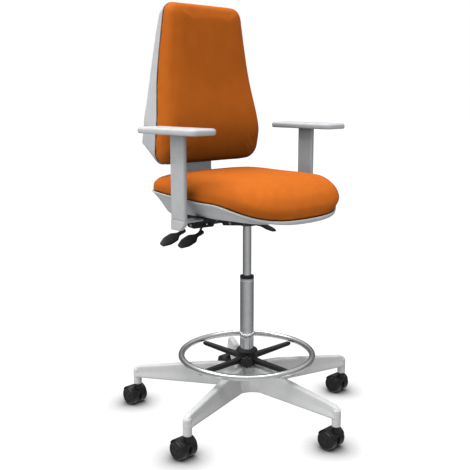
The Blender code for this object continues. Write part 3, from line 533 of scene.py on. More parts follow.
def leg_form():
    """One leg along +X: narrow ridge, flat leaning sides, deep at the hub and shallow at the tip."""
    rings = []
    for r in [0.010 + 0.012 * i for i in range(30)] + [0.366, 0.374, 0.380, 0.385, 0.389, 0.3915, 0.3925]:
        along = (r - 0.028) / 0.365
        wide = 0.027 - 0.0105 * along
        ridge = 0.0125 - 0.004 * along
        high = leg_top(r)
        low = 0.0985 + 0.004 * along
        end = max(0.0, r - 0.372) / 0.0215
        waist = wide - 0.45 * (wide - ridge) - 0.0012
        side = [(wide - 0.006, low), (wide - 0.0015, low + 0.0015), (wide, low + 0.006),
                (waist, low + 0.5 * (high - low)), (ridge + 0.0015, high - 0.004), (ridge, high - 0.0015),
                (ridge - 0.003, high)]
        rings.append(both_sides(r, side, sqrt(max(0.08, 1 - end * end))))
    return skin("leg", rings)


def web_ring(inset, height):
    """A ring round the hub that swells towards the legs."""
    half = pi / LEG_COUNT
    ring = []
    for angle in full_turn(120):
        away = abs((angle - FIRST_LEG) % (2 * half) - half) / half
        ring.append(polar(WEB_RADIUS + WEB_SWELL * away ** 1.8 - inset, angle, height))
    return ring


def star_base():
    hub = lathe("hub", [(0, HUB_HIGH), (HUB_RADIUS - 0.004, HUB_HIGH), (HUB_RADIUS - 0.001, HUB_HIGH - 0.001),
                        (HUB_RADIUS, HUB_HIGH - 0.004), (HUB_RADIUS + 0.006, HUB_LOW + 0.004),
                        (HUB_RADIUS + 0.002, HUB_LOW), (0, HUB_LOW)], 64)
    levels = ((0.004, HUB_LOW + 0.001), (0.0, 0.106), (0.002, 0.122), (0.014, 0.150))
    shapes = [skin("web", [web_ring(inset, height) for inset, height in levels])]
    taper = [(0, 0.190), (TUBE_RADIUS + GAP, 0.190), (TUBE_TAPER + GAP, 0.085), (0, 0.085)]
    holes = [lathe("taper", taper, 48)]
    for angle in LEG_ANGLES:
        shapes.append(turned_by(leg_form(), angle))
        stem = spin(angle) @ Matrix.Translation((STEM_CIRCLE, 0, 0))
        boss = [(0, 0.130), (0.0135, 0.130), (0.0138, BOSS_LOW + 0.002), (0.0128, BOSS_LOW), (0, BOSS_LOW)]
        shapes.append(moved(lathe("boss", boss, 32), stem))
        holes.append(moved(cylinder(CASTOR_PIN + GAP, 0.1115, 0.05, 24), stem))
    body = cut(joined(hub, shapes), holes, 35)
    piece("star_base_moulding", remoulded(body, 0.0019, 7), BASE, "base", "star_base")


# ---- column ----
TUBE_TOP = 0.4665
LIFT_RADIUS = 0.014
LIFT_LOW, LIFT_TOP = 0.25, 0.6690


def column():
    r = TUBE_RADIUS
    crimp = TUBE_TOP - 0.0085
    outer = rounded([(0.0176, TUBE_TOP, 0.0004), (r, TUBE_TOP, 0.0012), (r, crimp + 0.0022, 0.0008),
                     (r - 0.0007, crimp, 0.0008), (r, crimp - 0.0022, 0.0008), (r, 0.190, 0.004),
                     (TUBE_TAPER, TUBE_FOOT, 0.0008), (0.0062, TUBE_FOOT, 0.0003), (0.0062, 0.0905, 0.0003),
                     (0.0176, 0.0905, 0.0005)], 4)
    piece("outer_tube_polished", lathe("tube", outer, 96, True, 30), CHROME, "base", "outer_tube")
    bore, seat = LIFT_RADIUS + GAP, TUBE_TOP + GAP
    bush = rounded([(bore, 0.4755, 0.0006), (0.0225, 0.4755, 0.0014), (0.0228, seat, 0.0004),
                    (0.0172, seat, 0.0003), (0.0172, 0.405, 0.0003), (bore, 0.405, 0.0003)], 4)
    piece("guide_bush_moulding", lathe("bush", bush, 72, True, 30), BLACK, "base", "guide_bush")
    floor = LIFT_LOW + 0.015
    lift = rounded([(0.0034, LIFT_TOP, 0.0002), (0.0125, LIFT_TOP, 0.0008), (LIFT_RADIUS, 0.625, 0.010),
                    (LIFT_RADIUS, LIFT_LOW, 0.001), (0.0054, LIFT_LOW, 0.0003), (0.0054, floor, 0.0003),
                    (0.0118, floor, 0.0003), (0.0118, 0.632, 0.0003), (0.0034, 0.632, 0.0003)], 4)
    piece("pressure_tube_polished", lathe("lift", lift, 72, True, 30), CHROME, "lift", "pressure_tube")


# ---- footring ----
RING_RADIUS, RING_TUBE, RING_Z = 0.2164, 0.010, 0.2077
RING_JOINTS = (radians(-148), radians(35))
KNOB_ANGLE, KNOB_AT = radians(225), Vector((0, 0, RING_Z - 0.010))


def footring_ring():
    """Bent chromed tube, closed by two butt joints that show as thin grooves."""
    def to_joint(angle):
        return min(abs((angle - joint + pi) % (2 * pi) - pi) for joint in RING_JOINTS)

    shifts = (-0.006, -0.003, -0.0015, 0, 0.0015, 0.003, 0.006)
    near = [joint + shift for joint in RING_JOINTS for shift in shifts]
    plain = [a for a in full_turn(180) if to_joint(a) > 0.009]
    rings = []
    for a in sorted(a % (2 * pi) for a in plain + near):
        thick = RING_TUBE - 0.0006 * exp(-(to_joint(a) / 0.0016) ** 2)
        rings.append([polar(RING_RADIUS + thick * cos(b), a, RING_Z + thick * sin(b)) for b in full_turn(28)])
    piece("footring_ring_polished", skin("ring", rings, True), RING_CHROME, "footring", "footring_ring")


def spoke_form():
    """One spoke along +X from (distance, half width, low, high) stations."""
    stations = ((0.022, 0.0124, 0.1858, 0.2066), (0.036, 0.0118, 0.1862, 0.2035),
                (0.050, 0.0114, 0.1865, 0.2020), (0.085, 0.0106, 0.1868, 0.2012),
                (0.120, 0.0098, 0.1870, 0.2005), (0.170, 0.0089, 0.1873, 0.2002),
                (0.2000, 0.0084, 0.1875, 0.2000), (0.2085, 0.0080, 0.1895, 0.1992),
                (0.2110, 0.0076, 0.1925, 0.1984))
    rings = []
    for r, half, low, high in stations:
        edge = 0.35 * half
        rings.append(both_sides(r, [(half - 0.001, low), (half, low + 0.001), (half, high - edge),
                                    (half - 0.3 * edge, high - 0.3 * edge), (half - edge, high)]))
    return skin("spoke", rings)


def footring_spider():
    hub = [(0, 0.2265), (0.0325, 0.2265), (0.0345, 0.2240), (0.0345, 0.1800), (0.0330, 0.1780), (0, 0.1780)]
    collar = cylinder(0.0362, 0.2225, 0.2195, 64)
    out = Vector((cos(KNOB_ANGLE), sin(KNOB_ANGLE), 0))
    boss = tube([out * 0.020 + KNOB_AT, out * 0.0405 + KNOB_AT], 0.0105, 32)
    shapes = [turned_by(spoke_form(), k * pi / 2) for k in range(4)] + [collar, boss]
    side_hole = tube([out * 0.018 + KNOB_AT, out * 0.046 + KNOB_AT], 0.0050, 24)
    body = cut(joined(lathe("hub", hub, 64), shapes), [side_hole], 35)
    body = cut(remoulded(body, 0.0013, 5), [cylinder(TUBE_RADIUS + GAP + 0.0002, 0.26, 0.15, 64)], 40)
    piece("footring_spider_moulding", body, BLACK, "footring", "footring_spider")


def footring_knob():
    """Eight-lobed clamp knob: rounded rim, dished face with a raised middle, threaded stem."""
    def lobed(radius, depth, height):
        return [polar(radius + depth * cos(8 * a), a, height) for a in full_turn(128)]

    start, low, high = 0.0236, 0.0465, 0.0640
    levels = ((0.0040, 0, start), (0.0046, 0, 0.0242), (0.0046, 0, low - 0.0004), (0.0085, 0, low),
              (0.0150, 0.0010, low), (0.0174, 0.0012, low + 0.0008), (0.0185, 0.0014, low + 0.0030),
              (0.0184, 0.0014, high - 0.0040), (0.0176, 0.0013, high - 0.0016), (0.0160, 0.0011, high - 0.0004),
              (0.0145, 0.0006, high), (0.0125, 0, high - 0.0012), (0.0080, 0, high - 0.0022),
              (0.0068, 0, high - 0.0016), (0.0058, 0, high - 0.0006), (0.0040, 0, high - 0.0001))
    rings = [[Vector((0, 0, start))]] + [lobed(*level) for level in levels] + [[Vector((0, 0, high))]]
    mesh = skin("knob", rings, angle=50)
    moved(mesh, spin(KNOB_ANGLE) @ spin(pi / 2, "Y"))
    piece("footring_knob_moulding", mesh, BLACK, "footring_knob", "footring_knob", ORIGIN + KNOB_AT)


# ---- castors ----
WHEEL_RADIUS, WHEEL_WIDTH, WHEEL_INNER, TRAIL = 0.030, 0.0262, 0.0066, 0.018
AXLE_Z = FLOOR + WHEEL_RADIUS


def hood_form():
    """Hood over both wheels, centre web, neck and pin, round the axle line."""
    around, w = WHEEL_RADIUS + 0.0006, WHEEL_INNER + WHEEL_WIDTH - 0.0040
    cover, steps = 0.0024, 48
    arc = [radians(28 + 124 * i / steps) for i in range(steps + 1)]
    outer = [around + 0.0002 + cover * sin(pi * i / steps) ** 0.45 for i in range(steps + 1)]
    band = [(r * cos(a), r * sin(a)) for r, a in zip(outer, arc)]
    band += [(around * cos(a), around * sin(a)) for a in reversed(arc)]
    hood = plate(band, -w, w, "YZ", 0.0012, 3, 60)
    web_arc = [((around + 0.0003) * cos(a), (around + 0.0003) * sin(a)) for a in arc]
    inner = WHEEL_INNER - 0.0007
    web = plate(web_arc + [(-0.020, -0.012), (0.020, -0.012)], -inner, inner, "YZ")
    stem = Matrix.Translation((0, -TRAIL, 0))
    top = BOSS_LOW - AXLE_Z - 0.0012
    neck = lathe("neck", [(0, top), (0.0108, top), (0.0112, top - 0.003), (0.0122, 0.0255), (0, 0.0255)], 32)
    top = 0.110 - AXLE_Z
    pin = lathe("pin", [(0, top), (CASTOR_PIN - 0.0008, top), (CASTOR_PIN, top - 0.002), (CASTOR_PIN, 0.035),
                        (0, 0.035)], 32)
    body = joined(hood, [web, moved(neck, stem), moved(pin, stem)])
    gone = [tube([(side * (WHEEL_INNER - GAP), 0, 0), (side * 0.040, 0, 0)], WHEEL_RADIUS + 2 * GAP, 64)
            for side in (-1, 1)]
    gone.append(tube([(-0.01, 0, 0), (0.01, 0, 0)], 0.0043, 24))
    return cut(body, gone, 40)


def wheel_form():
    """A wheel turned round Z: crowned tread, stepped face with a hub cap, blind bore for the axle."""
    w, r = WHEEL_WIDTH, WHEEL_RADIUS
    profile = rounded([(0.0041, 0.0, 0.0004), (r - 0.0008, 0.0, 0.0006), (r, 0.0014, 0.001),
                       (r, w - 0.0062, 0.003), (r - 0.0032, w - 0.0012, 0.002), (0.0235, w, 0.0008),
                       (0.0212, w - 0.0016, 0.0008), (0.0110, w - 0.0024, 0.001),
                       (0.0102, w - 0.0008, 0.0008), (0.0060, w - 0.0004, 0.002)], 5, cyclic=False)
    return lathe("wheel", [(0, 0.0187), (0.0041, 0.0187)] + profile + [(0, w - 0.0004)], 72, angle=32)


def castors():
    hood, wheel = hood_form(), wheel_form()
    for k, angle in enumerate(LEG_ANGLES):
        at = ORIGIN + polar(STEM_CIRCLE, angle, AXLE_Z) + Vector((0, TRAIL, 0))
        name = f"castor_{k + 1}"
        piece(f"{name}_hood_moulding", hood, TYRE, name, f"{name}_hood", at)
        for side, hand in SIDES:
            piece(f"{name}_wheel_{hand}_tyre", wheel, TYRE, f"{name}_wheel_{hand}", f"{name}_wheel_{hand}",
                  at + Vector((side * WHEEL_INNER, 0, 0)), (0, side * pi / 2, 0))
        recoloured(f"{name}_axle", STEEL)


# ---- mechanism ----
PLATE_HALF, SHEET, BAR_LOW = 0.118, 0.003, 0.680
RECLINE_Y, RECLINE_Z = 0.122, 0.652
LEVER_DROP, LEVER_ROLL, LEAF_SQUARE = radians(20), radians(27), 0.62
LEVERS = {"back_tilt_lever": (0.152, 0.648), "seat_tilt_lever": (0.064, 0.655), "height_lever": (0.092, 0.646)}


def lever(name, side):
    """Bent black rod, square-shouldered ferrule and a leaf-shaped paddle whose front edge hangs down."""
    pivot = Vector((side * PLATE_HALF, *LEVERS[name]))
    path = rounded([(-0.018, 0, 0), (0.0075, 0, 0.006), (0.0190, -0.0110, 0.004), (0.0330, -0.0320, 0.006),
                    (0.060, -0.0440, 0)], 6, cyclic=False)
    rod = tube([(side * x, 0, z) for x, z in path], 0.0034, 20)
    sections = ((-0.0145, 0.0056, 0.0054), (-0.0138, 0.0066, 0.0062), (-0.0005, 0.0068, 0.0062),
                (0.0015, 0.0060, 0.0054), (0.0120, 0.0068, 0.0050), (0.0155, 0.0080, 0.0050),
                (0.0300, 0.0176, 0.0050), (0.0340, 0.0190, 0.0050), (0.0480, 0.0194, 0.0050),
                (0.0620, 0.0188, 0.0048), (0.0665, 0.0174, 0.0047), (0.0800, 0.0118, 0.0042),
                (0.0865, 0.0088, 0.0034), (0.0885, 0.0046, 0.0018))
    rings = [[Vector((x, half * squared(cos(a), LEAF_SQUARE), thick * squared(sin(a), LEAF_SQUARE)))
              for a in full_turn(40)] for x, half, thick in sections]
    leaf = skin("leaf", eased(rings, 2))
    tilt = spin(0 if side > 0 else pi) @ spin(LEVER_DROP, "Y") @ spin(side * LEVER_ROLL, "X")
    moved(leaf, Matrix.Translation((side * 0.030, 0, -0.032)) @ tilt)
    body = remoulded(joined(rod, [leaf]), 0.0008, 2, 40)
    piece(f"{name}_handle", body, BLACK, name, name, ORIGIN + pivot)


def flange_bolt(side, hand):
    """Small dome-headed bolt at the rear of a flange."""
    dome = lathe("dome", [(0, 0.0030), (0.0022, 0.0028), (0.0040, 0.0018), (0.0047, 0.0006), (0.0047, -0.0010),
                          (0, -0.0010)], 32)
    at = ORIGIN + Vector((side * PLATE_HALF, 0.1406, 0.6375))
    piece(f"flange_{hand}_bolt", dome, STEEL, "seat", (), at, (0, side * pi / 2, 0))


def spring():
    turns, per_turn = 5, 28
    path = [(-0.0165 + 0.033 * i / (turns * per_turn), RECLINE_Y + 0.0105 * cos(2 * pi * i / per_turn),
             RECLINE_Z + 0.0105 * sin(2 * pi * i / per_turn)) for i in range(turns * per_turn + 1)]
    piece("recline_spring_coil", tube(path, 0.0018, 14), STEEL, "seat", "recline_spring")


def bolt_form():
    """Flanged hexagon head and shank, turned round Z with the head below."""
    seat = BAR_LOW - SHEET - GAP
    shank = lathe("shank", [(0, 0.6870), (0.0036, 0.6870), (0.0040, 0.6864), (0.0040, seat),
                            (0.0078, seat - 0.0002), (0.0078, seat - 0.0010), (0.0070, seat - 0.0015),
                            (0, seat - 0.0015)], 40)
    hexagon = [(0.0070 * cos(a), 0.0070 * sin(a)) for a in full_turn(6)]
    return joined(shank, [plate(hexagon, seat - 0.0058, seat - 0.0012, edge=0.0005, segments=2)])


# ---- seat ----
SEAT_HALF, SEAT_MID_Y, SEAT_HALF_DEPTH = 0.247, -0.0125, 0.2525
SEAM_FRONT, SEAM_MIDDLE, SEAM_FLARE, SEAT_TOP = 0.6942, 0.7370, 0.006, 0.802
LIP_MIDDLE, LIP_SIDE, SHELL_FLOOR, WALL = 0.0130, 0.0065, 0.6890, 0.0030
CORNER_TUCK = 0.0125      # how far the front corners draw in at the seam
FRONT_SQUARE, REAR_SQUARE = 3.2, 5.2


def seam_z(x, y):
    """Height of the seat's seam: it dips at the waterfall front and rises to the rear and to the sides."""
    along = min(1.0, max(0.0, (y + 0.272) / 0.180))
    middle = SEAM_FRONT + (SEAM_MIDDLE - SEAM_FRONT) * along * along * (3 - 2 * along)
    return middle + SEAM_FLARE * (x / SEAT_HALF) ** 2 + 0.060 * max(0.0, y + 0.05)


def lip_z(x, y):
    """Lower edge of the shell's lip, deep at the middle of the front and shallow at the sides."""
    side = min(1.0, abs(x) / 0.190) ** 2
    return seam_z(x, y) - LIP_MIDDLE - (LIP_SIDE - LIP_MIDDLE) * side


def floor_z(y):
    front = min(1.0, max(0.0, (-0.13 - y) / 0.11))
    rear = min(1.0, max(0.0, (y - 0.115) / 0.05))
    return SHELL_FLOOR - 0.009 * front - 0.014 * rear


def tray_z(x, y):
    return SHELL_FLOOR if y > 0 else floor_z(y)


def top_z(y):
    return SEAT_TOP - 0.034 * (max(0.0, -0.115 - y) / 0.150) ** 2 + 0.03 * max(0.0, y - 0.02)


def seat_ring(inset, height, scale=1.0, tucked=0.0):
    """One ring of the seat's plan at height(x, y), drawn in by inset and by a share of the corner tuck."""
    ring = []
    for angle in full_turn(176):
        power = 2 / (FRONT_SQUARE if sin(angle) < 0 else REAR_SQUARE)
        x = SEAT_HALF * squared(cos(angle), power)
        y = SEAT_HALF_DEPTH * squared(sin(angle), power)
        corner = min(1.0, abs(x) / 0.17) ** 2 * min(1.0, max(0.0, -y - 0.10) / 0.10)
        drawn = inset + tucked * CORNER_TUCK * corner
        x *= scale * (1 - drawn / SEAT_HALF)
        y = y * scale * (1 - drawn / SEAT_HALF_DEPTH) + SEAT_MID_Y
        ring.append(Vector((x, y, height(x, y))))
    return ring


def seat_rings(rows):
    """A ring for each (inset, height, share of the corner tuck)."""
    return [seat_ring(inset, height, 1.0, tucked) for inset, height, tucked in rows]


def inflated(mesh, held, cap):
    """Cloth with air in it, held where held(point) is true; no point moves more than cap."""
    mesh = modified(mesh, ("REMESH", {"mode": "VOXEL", "voxel_size": 0.0055}),
                    ("SMOOTH", {"factor": 0.5, "iterations": 3}))
    work = linked("work", mesh)
    rest = np.array([v.co for v in work.data.vertices], float)
    group = work.vertex_groups.new(name="held")
    group.add([i for i, co in enumerate(rest) if held(co)], 1.0, "REPLACE")
    cloth = work.modifiers.new("Cloth", "CLOTH")
    cloth.settings.quality = 5
    cloth.settings.use_pressure = True
    cloth.settings.uniform_pressure_force = 4.0
    cloth.settings.effector_weights.gravity = 0
    cloth.settings.vertex_group_mass = "held"
    cloth.collision_settings.use_collision = False
    scene = bpy.context.scene
    for number in range(1, 21):
        scene.frame_set(number)
    blown = evaluated(work)
    moves = np.array([v.co for v in blown.vertices], float) - rest
    lengths = np.maximum(np.linalg.norm(moves, axis=1, keepdims=True), 1e-9)
    moves *= np.minimum(1.0, cap / lengths)
    blown.vertices.foreach_set("co", (rest + moves).ravel())
    bpy.data.objects.remove(work)
    scene.frame_set(1)
    work = linked("work", blown)
    return settled(work, [("SMOOTH", {"factor": 0.5, "iterations": 2}), ("SUBSURF", {"levels": 1})], 70)


def seat_cushion():
    def between(share, extra=0.0):
        return lambda x, y: seam_z(x, y) + share * (top_z(y) - seam_z(x, y)) + extra

    slack = 0.0022            # the cover starts this much smaller and the pressure fills it
    rings = [[Vector((0, SEAT_MID_Y, seam_z(0, SEAT_MID_Y)))], seat_ring(0.0, seam_z, 0.5)]
    rings += seat_rings(((0.022, seam_z, 0), (0.006, seam_z, 1), (0.0005, between(0.05), 1),
                         (slack - 0.003, between(0.20), 0.30), (slack - 0.003, between(0.40), 0),
                         (slack + 0.004, between(0.62), 0), (slack + 0.018, between(0.82), 0),
                         (slack + 0.046, between(0.94, -0.001), 0)))
    rings += [seat_ring(0.0, between(1.0, 0.0035), 0.55), [Vector((0, SEAT_MID_Y, SEAT_TOP + 0.0085))]]
    form = skin("cushion", eased(rings, [2, 2, 2, 2, 3, 3, 4, 4, 4, 5, 6]))
    mesh = inflated(form, lambda co: co[2] < seam_z(co[0], co[1]) + 0.003, 0.0035)
    cushion = piece("seat_cushion_cover", mesh, FABRIC, "seat", "seat_cushion")


def seat_shell():
    """One closed skin: out along the tray's inside, over the rim and the lip, and back along the underside."""
    def under(drop):
        return lambda x, y: seam_z(x, y) - drop

    def lip(share, lift=0.0):
        return lambda x, y: seam_z(x, y) + share * (lip_z(x, y) - seam_z(x, y)) + lift

    def wall(share, lift=0.0):
        return lambda x, y: floor_z(y) + lift + share * (lip_z(x, y) - floor_z(y))

    tray = SHELL_FLOOR + WALL
    inner = [[Vector((0, SEAT_MID_Y, tray))], seat_ring(0.0, lambda x, y: tray, 0.3)]
    inner += seat_rings(((0.076, lambda x, y: WALL + tray_z(x, y), 0), (0.0555, wall(0.0, WALL), 0),
                         (0.0400, wall(0.18, WALL), 0), (0.0235, wall(0.60, 0.0024), 1),
                         (0.0048, lip(1.0, 0.0020), 1), (0.0032, lip(0.5), 1), (0.0026, under(0.0015), 1)))
    rim = inner[-1:] + seat_rings(((0.0016, under(0.0003), 1), (-0.0004, under(0.0004), 1),
                                   (-0.0014, under(0.0013), 1), (-0.0018, lip(0.35), 1),
                                   (-0.0015, lip(0.72), 1), (-0.0005, lip(0.94), 1),
                                   (0.0012, lip(1.0, -0.0004), 1)))
    low = rim[-1:] + seat_rings(((0.021, wall(0.60), 1), (0.038, wall(0.18), 0), (0.054, wall(0.0), 0),
                                 (0.076, tray_z, 0)))
    low += [seat_ring(0.0, lambda x, y: SHELL_FLOOR, 0.3), [Vector((0, SEAT_MID_Y, SHELL_FLOOR))]]
    rings = eased(inner, [1, 3, 3, 4, 4, 3, 2, 2])[:-1] + eased(rim, 2) + eased(low, [4, 4, 4, 3, 3, 1])[1:]
    piece("seat_shell_moulding", skin("seat_shell", rings, angle=30), SHELL, "seat", "seat_shell")


# ---- backrest ----
BACK_SEAM_Y, LUMBAR, LUMBAR_Z = 0.217, 0.025, 0.940
BACK_LOW, BACK_HIGH, BACK_WIDE_Z = 0.833, 1.338, 0.930
BACK_MIDDLE, BACK_TALL = (BACK_LOW + BACK_HIGH) / 2, BACK_HIGH - BACK_LOW
BACK_TOP_HALF, BACK_WIDE_HALF, BACK_LOW_HALF = 0.153, 0.216, 0.212
BAR_Y, COVER_HALF = 0.258, 0.0745
REAR_LINE = ((0.880, 0.2570), (0.904, 0.2680), (0.960, 0.2535), (1.030, 0.2475), (1.150, 0.2450),
             (1.235, 0.2420), (1.330, 0.2330))


def back_outline(low_radius):
    """Front view of the backrest as (x, z): narrow top, widest low down, rounded corners."""
    half = [(BACK_TOP_HALF, BACK_HIGH, 0.040), (BACK_WIDE_HALF, BACK_WIDE_Z, 0.110),
            (BACK_LOW_HALF, BACK_LOW, low_radius)]
    corners = half + [(-x, z, r) for x, z, r in reversed(half)]
    arc = 10
    points = rounded(corners, arc)
    runs = (34, 3, 32, 3, 34, 24)     # pieces of each straight edge, from the top corner round to itself
    dense = []
    for i, (x, z) in enumerate(points):
        u, v = points[(i + 1) % len(points)]
        pieces = runs[i // (arc + 1)] if i % (arc + 1) == arc else 1
        dense += [(x + (u - x) * j / pieces, z + (v - z) * j / pieces) for j in range(pieces)]
    return dense


def back_seam_y(z):
    return BACK_SEAM_Y - LUMBAR * exp(-(((z - LUMBAR_Z) / 0.120) ** 2))


def cushion_depth(z):
    return 0.040 + 0.014 * exp(-(((z - 0.98) / 0.26) ** 2))


def back_ring(inset, depth, scale=1.0, low=None, high=None, low_radius=0.045):
    """One ring of the backrest's outline, drawn in by inset, at depth(z) along Y."""
    ring = []
    for x, z in back_outline(low_radius):
        x *= scale * (1 - inset / 0.19)
        z = BACK_MIDDLE + (z - BACK_MIDDLE) * scale * (1 - inset / (BACK_TALL / 2))
        if low is not None:
            z = low + (z - BACK_LOW) / BACK_TALL * (high - low)
        ring.append(Vector((x, depth(z), z)))
    return ring


def rear_y(z):
    """Rear face of the back shell: thin at the top, straight down the middle, a deep wedge low down."""
    heights, depths = zip(*REAR_LINE)
    return float(np.interp(z, heights, depths))


def back_cushion():
    def forward(share, extra=0.0):
        return lambda z: back_seam_y(z) - share * cushion_depth(z) - extra

    slack = 0.0020
    rows = ((0.024, forward(0.0)), (0.003, forward(0.0, 0.0002)), (-0.0008, forward(0.05)),
            (slack - 0.002, forward(0.20)), (slack - 0.003, forward(0.42)), (slack + 0.001, forward(0.70)),
            (slack + 0.008, forward(0.88)), (slack + 0.018, forward(0.96, 0.001)),
            (slack + 0.042, forward(1.0, 0.0025)))
    rings = [[Vector((0, forward(0.0)(BACK_MIDDLE), BACK_MIDDLE))], back_ring(0.0, forward(0.0), 0.5)]
    rings += [back_ring(inset, depth) for inset, depth in rows]
    rings += [back_ring(0.0, forward(1.0, 0.0055), 0.5), [Vector((0, forward(1.0, 0.0065)(1.08), 1.082))]]
    form = skin("back_cushion", eased(rings, [2, 2, 2, 2, 2, 3, 3, 3, 3, 4, 5, 6]))
    mesh = inflated(form, lambda co: co[1] > back_seam_y(co[2]) - 0.003, 0.0032)
    cushion = piece("back_cushion_cover", mesh, FABRIC, "backrest", "back_cushion")


def back_shell():
    """One closed skin: out along the inner face, over the rim, and back along the rear face."""
    low, high = 0.884, 1.329

    def behind(depth):
        return lambda z: back_seam_y(z) + depth

    def rear(inset, depth, scale=1.0, drop=0.0):
        return back_ring(inset, lambda z: rear_y(z) + depth, scale, low + drop, high - drop, 0.020)

    def pole(depth):
        return [Vector((0, rear_y(1.10) + depth, 1.10))]

    def straight(first, second):
        return [[a.lerp(b, t) for a, b in zip(first, second)] for t in (0.25, 0.5, 0.75)]

    inner = [pole(0.008 - WALL), rear(0.0, 0.007 - WALL, 0.55), rear(0.014, 0.004 - WALL, 1.0, 0.004),
             rear(0.0085, 0.0015 - WALL, 1.0, 0.003)]
    rim = [back_ring(inset, behind(depth))
           for inset, depth in ((0.0030, 0.0040), (0.0022, 0.0008), (0.0012, 0.0003), (0.0, 0.0006),
                                (-0.0007, 0.0018), (-0.0010, 0.0050))]
    outer = [rear(0.0030, 0.0), rear(0.0055, 0.0022, 1.0, 0.001), rear(0.012, 0.004, 1.0, 0.003),
             rear(0.0, 0.007, 0.55), pole(0.008)]
    rings = eased(inner, [4, 6, 2]) + straight(inner[-1], rim[0]) + eased(rim, 2) + straight(rim[-1], outer[0])
    rings += eased(outer, [2, 3, 8, 4])
    half = COVER_HALF + 0.004
    slot = bevelled(box((-half, BAR_Y - 0.0290, 0.78), (half, BAR_Y + 0.0135, 0.899)), 0.004, 4)
    shell = cut(skin("back_shell", rings), [slot])
    piece("back_shell_moulding", shell, SHELL, "backrest", "back_shell")


def back_frame():
    line = rounded([(0.1515, 0.6485, 0), (0.252, 0.6485, 0.032), (BAR_Y, 0.690, 0.030), (BAR_Y, 0.898, 0.012),
                    (BAR_Y - 0.020, 0.930, 0.012), (BAR_Y - 0.020, 1.000, 0)], 10, cyclic=False)
    strip = plate(strip_outline(line, 0.003), -0.030, 0.030, "YZ", 0.0012, 2, 60)
    piece("back_bar_strip", strip, PAINT, "back_frame", "back_bar")
    cover = bevelled(box((-COVER_HALF, BAR_Y - 0.0095, 0.690), (COVER_HALF, BAR_Y + 0.0095, 0.892)), 0.0055, 6)
    room = box((-0.0305, BAR_Y - 0.0035, 0.60), (0.0305, BAR_Y + 0.0035, 1.0))
    # The cover's material glows faintly: painted light.
    piece("back_bar_cover_moulding", cut(cover, [room]), COVER_WITH_PAINTED_GLOW, "back_frame", "back_bar_cover")
    refined("back_bracket", PAINT, 0.0012)


# ---- arms ----
ARM_X, ARM_Y, PAD_OUT = 0.2825, 0.0, 0.0075
PAD_HALF, POST_HALF = (0.048, 0.131), (0.008, 0.031)
PAD_LOW, PAD_HIGH, SLEEVE_LOW = 0.941, 0.961, 0.692
BAR_REACH, BOLT_REACH = 0.162, 0.150


def blade(half_x, half_y, radius):
    return rounded([(half_x, half_y, radius), (half_x, -half_y, radius), (-half_x, -half_y, radius),
                    (-half_x, half_y, radius)], 10)


def pad_form():
    """Arm pad: rounded plan, full-rounded edge, slightly crowned top."""
    def level(inset, height):
        radius = max(0.004, 0.020 - inset)
        return [Vector((x, y, height)) for x, y in blade(PAD_HALF[0] - inset, PAD_HALF[1] - inset, radius)]

    low_edge, high_edge, crown = 0.0055, 0.0085, 0.0012
    top = PAD_HIGH - crown
    rings = [level(0.030, PAD_LOW), level(0.012, PAD_LOW)]
    for a in (pi / 12 * i for i in range(7)):
        rings.append(level(low_edge * (1 - sin(a)), PAD_LOW + low_edge * (1 - cos(a))))
    for a in (pi / 16 * i for i in range(9)):
        rings.append(level(high_edge * (1 - cos(a)), top - high_edge * (1 - sin(a))))
    rings += [level(0.016, top + 0.45 * crown), level(0.026, top + 0.8 * crown), level(0.040, top + crown)]
    return skin("pad", rings)


def arm(side, hand):
    at = ORIGIN + Vector((side * ARM_X, ARM_Y, 0))

    def part(node, ending, mesh, finish, body="seat", shift=(0, 0, 0)):
        name = f"arm_{hand}_{node}"
        piece(f"{name}_{ending}", mesh, finish, body, name, at + Vector(shift))

    line = rounded([(-side * BAR_REACH, 0.684, 0), (0, 0.684, 0.006), (0, 0.900, 0)], 8, cyclic=False)
    bar = plate(strip_outline(line, 0.0025), -0.022, 0.022, "XZ", 0.0014, 3, 60)
    to_bolt = (-side * BOLT_REACH, 0, 0)
    hole = moved(cylinder(0.0043, 0.70, 0.66, 32), Matrix.Translation(to_bolt))
    part("bar", "strip", cut(bar, [hole]), ARM_PAINT)
    part("bolt", "head", bolt_form(), STEEL, shift=to_bolt)
    flange_bolt(side, hand)
    half_x, half_y = POST_HALF
    top = SLEEVE_LOW - GAP
    outline = rounded([(half_y, top, 0), (half_y, 0.6590, 0.003), (-0.0095, 0.6590, 0.005),
                       (-half_y + 0.0015, 0.6775, 0.003), (-half_y, top, 0)], 5)
    foot = bevelled(plate(outline, -half_x, half_x, "YZ"), 0.0042, 5, 50)
    room = [box((-0.0028, -0.0223, 0.6797), (0.0028, 0.0223, 0.75)),
            side_box(-side, 0, 0.03, (-0.0224, 0.6796), (0.0224, 0.6884))]
    part("foot", "moulding", cut(foot, room), SHELL)
    sleeve = bevelled(plate(blade(half_x, half_y, 0.0065), SLEEVE_LOW, PAD_LOW - GAP), 0.0006, 2, 60)
    wells = [box((-0.0034, -0.0230, 0.60), (0.0034, 0.0230, 0.925)),
             side_box(side, 0.003, 0.02, (0.0085, 0.8595), (0.0215, 0.8745))]
    part("sleeve", "moulding", cut(sleeve, wells), SHELL, f"arm_{hand}")
    part("pad", "moulding", pad_form(), SHELL, f"arm_{hand}", (side * PAD_OUT, 0.001, 0))
    button = bevelled(side_box(side, 0.0058, 0.0095, (0.0088, 0.8598), (0.0212, 0.8742)), 0.0013, 4)
    ribs = [side_box(side, 0.0092, 0.02, (0.0105, z), (0.0195, z + 0.0009)) for z in (0.8635, 0.8665, 0.8695)]
    part("button", "cap", cut(button, ribs), SHELL, f"arm_{hand}_button")


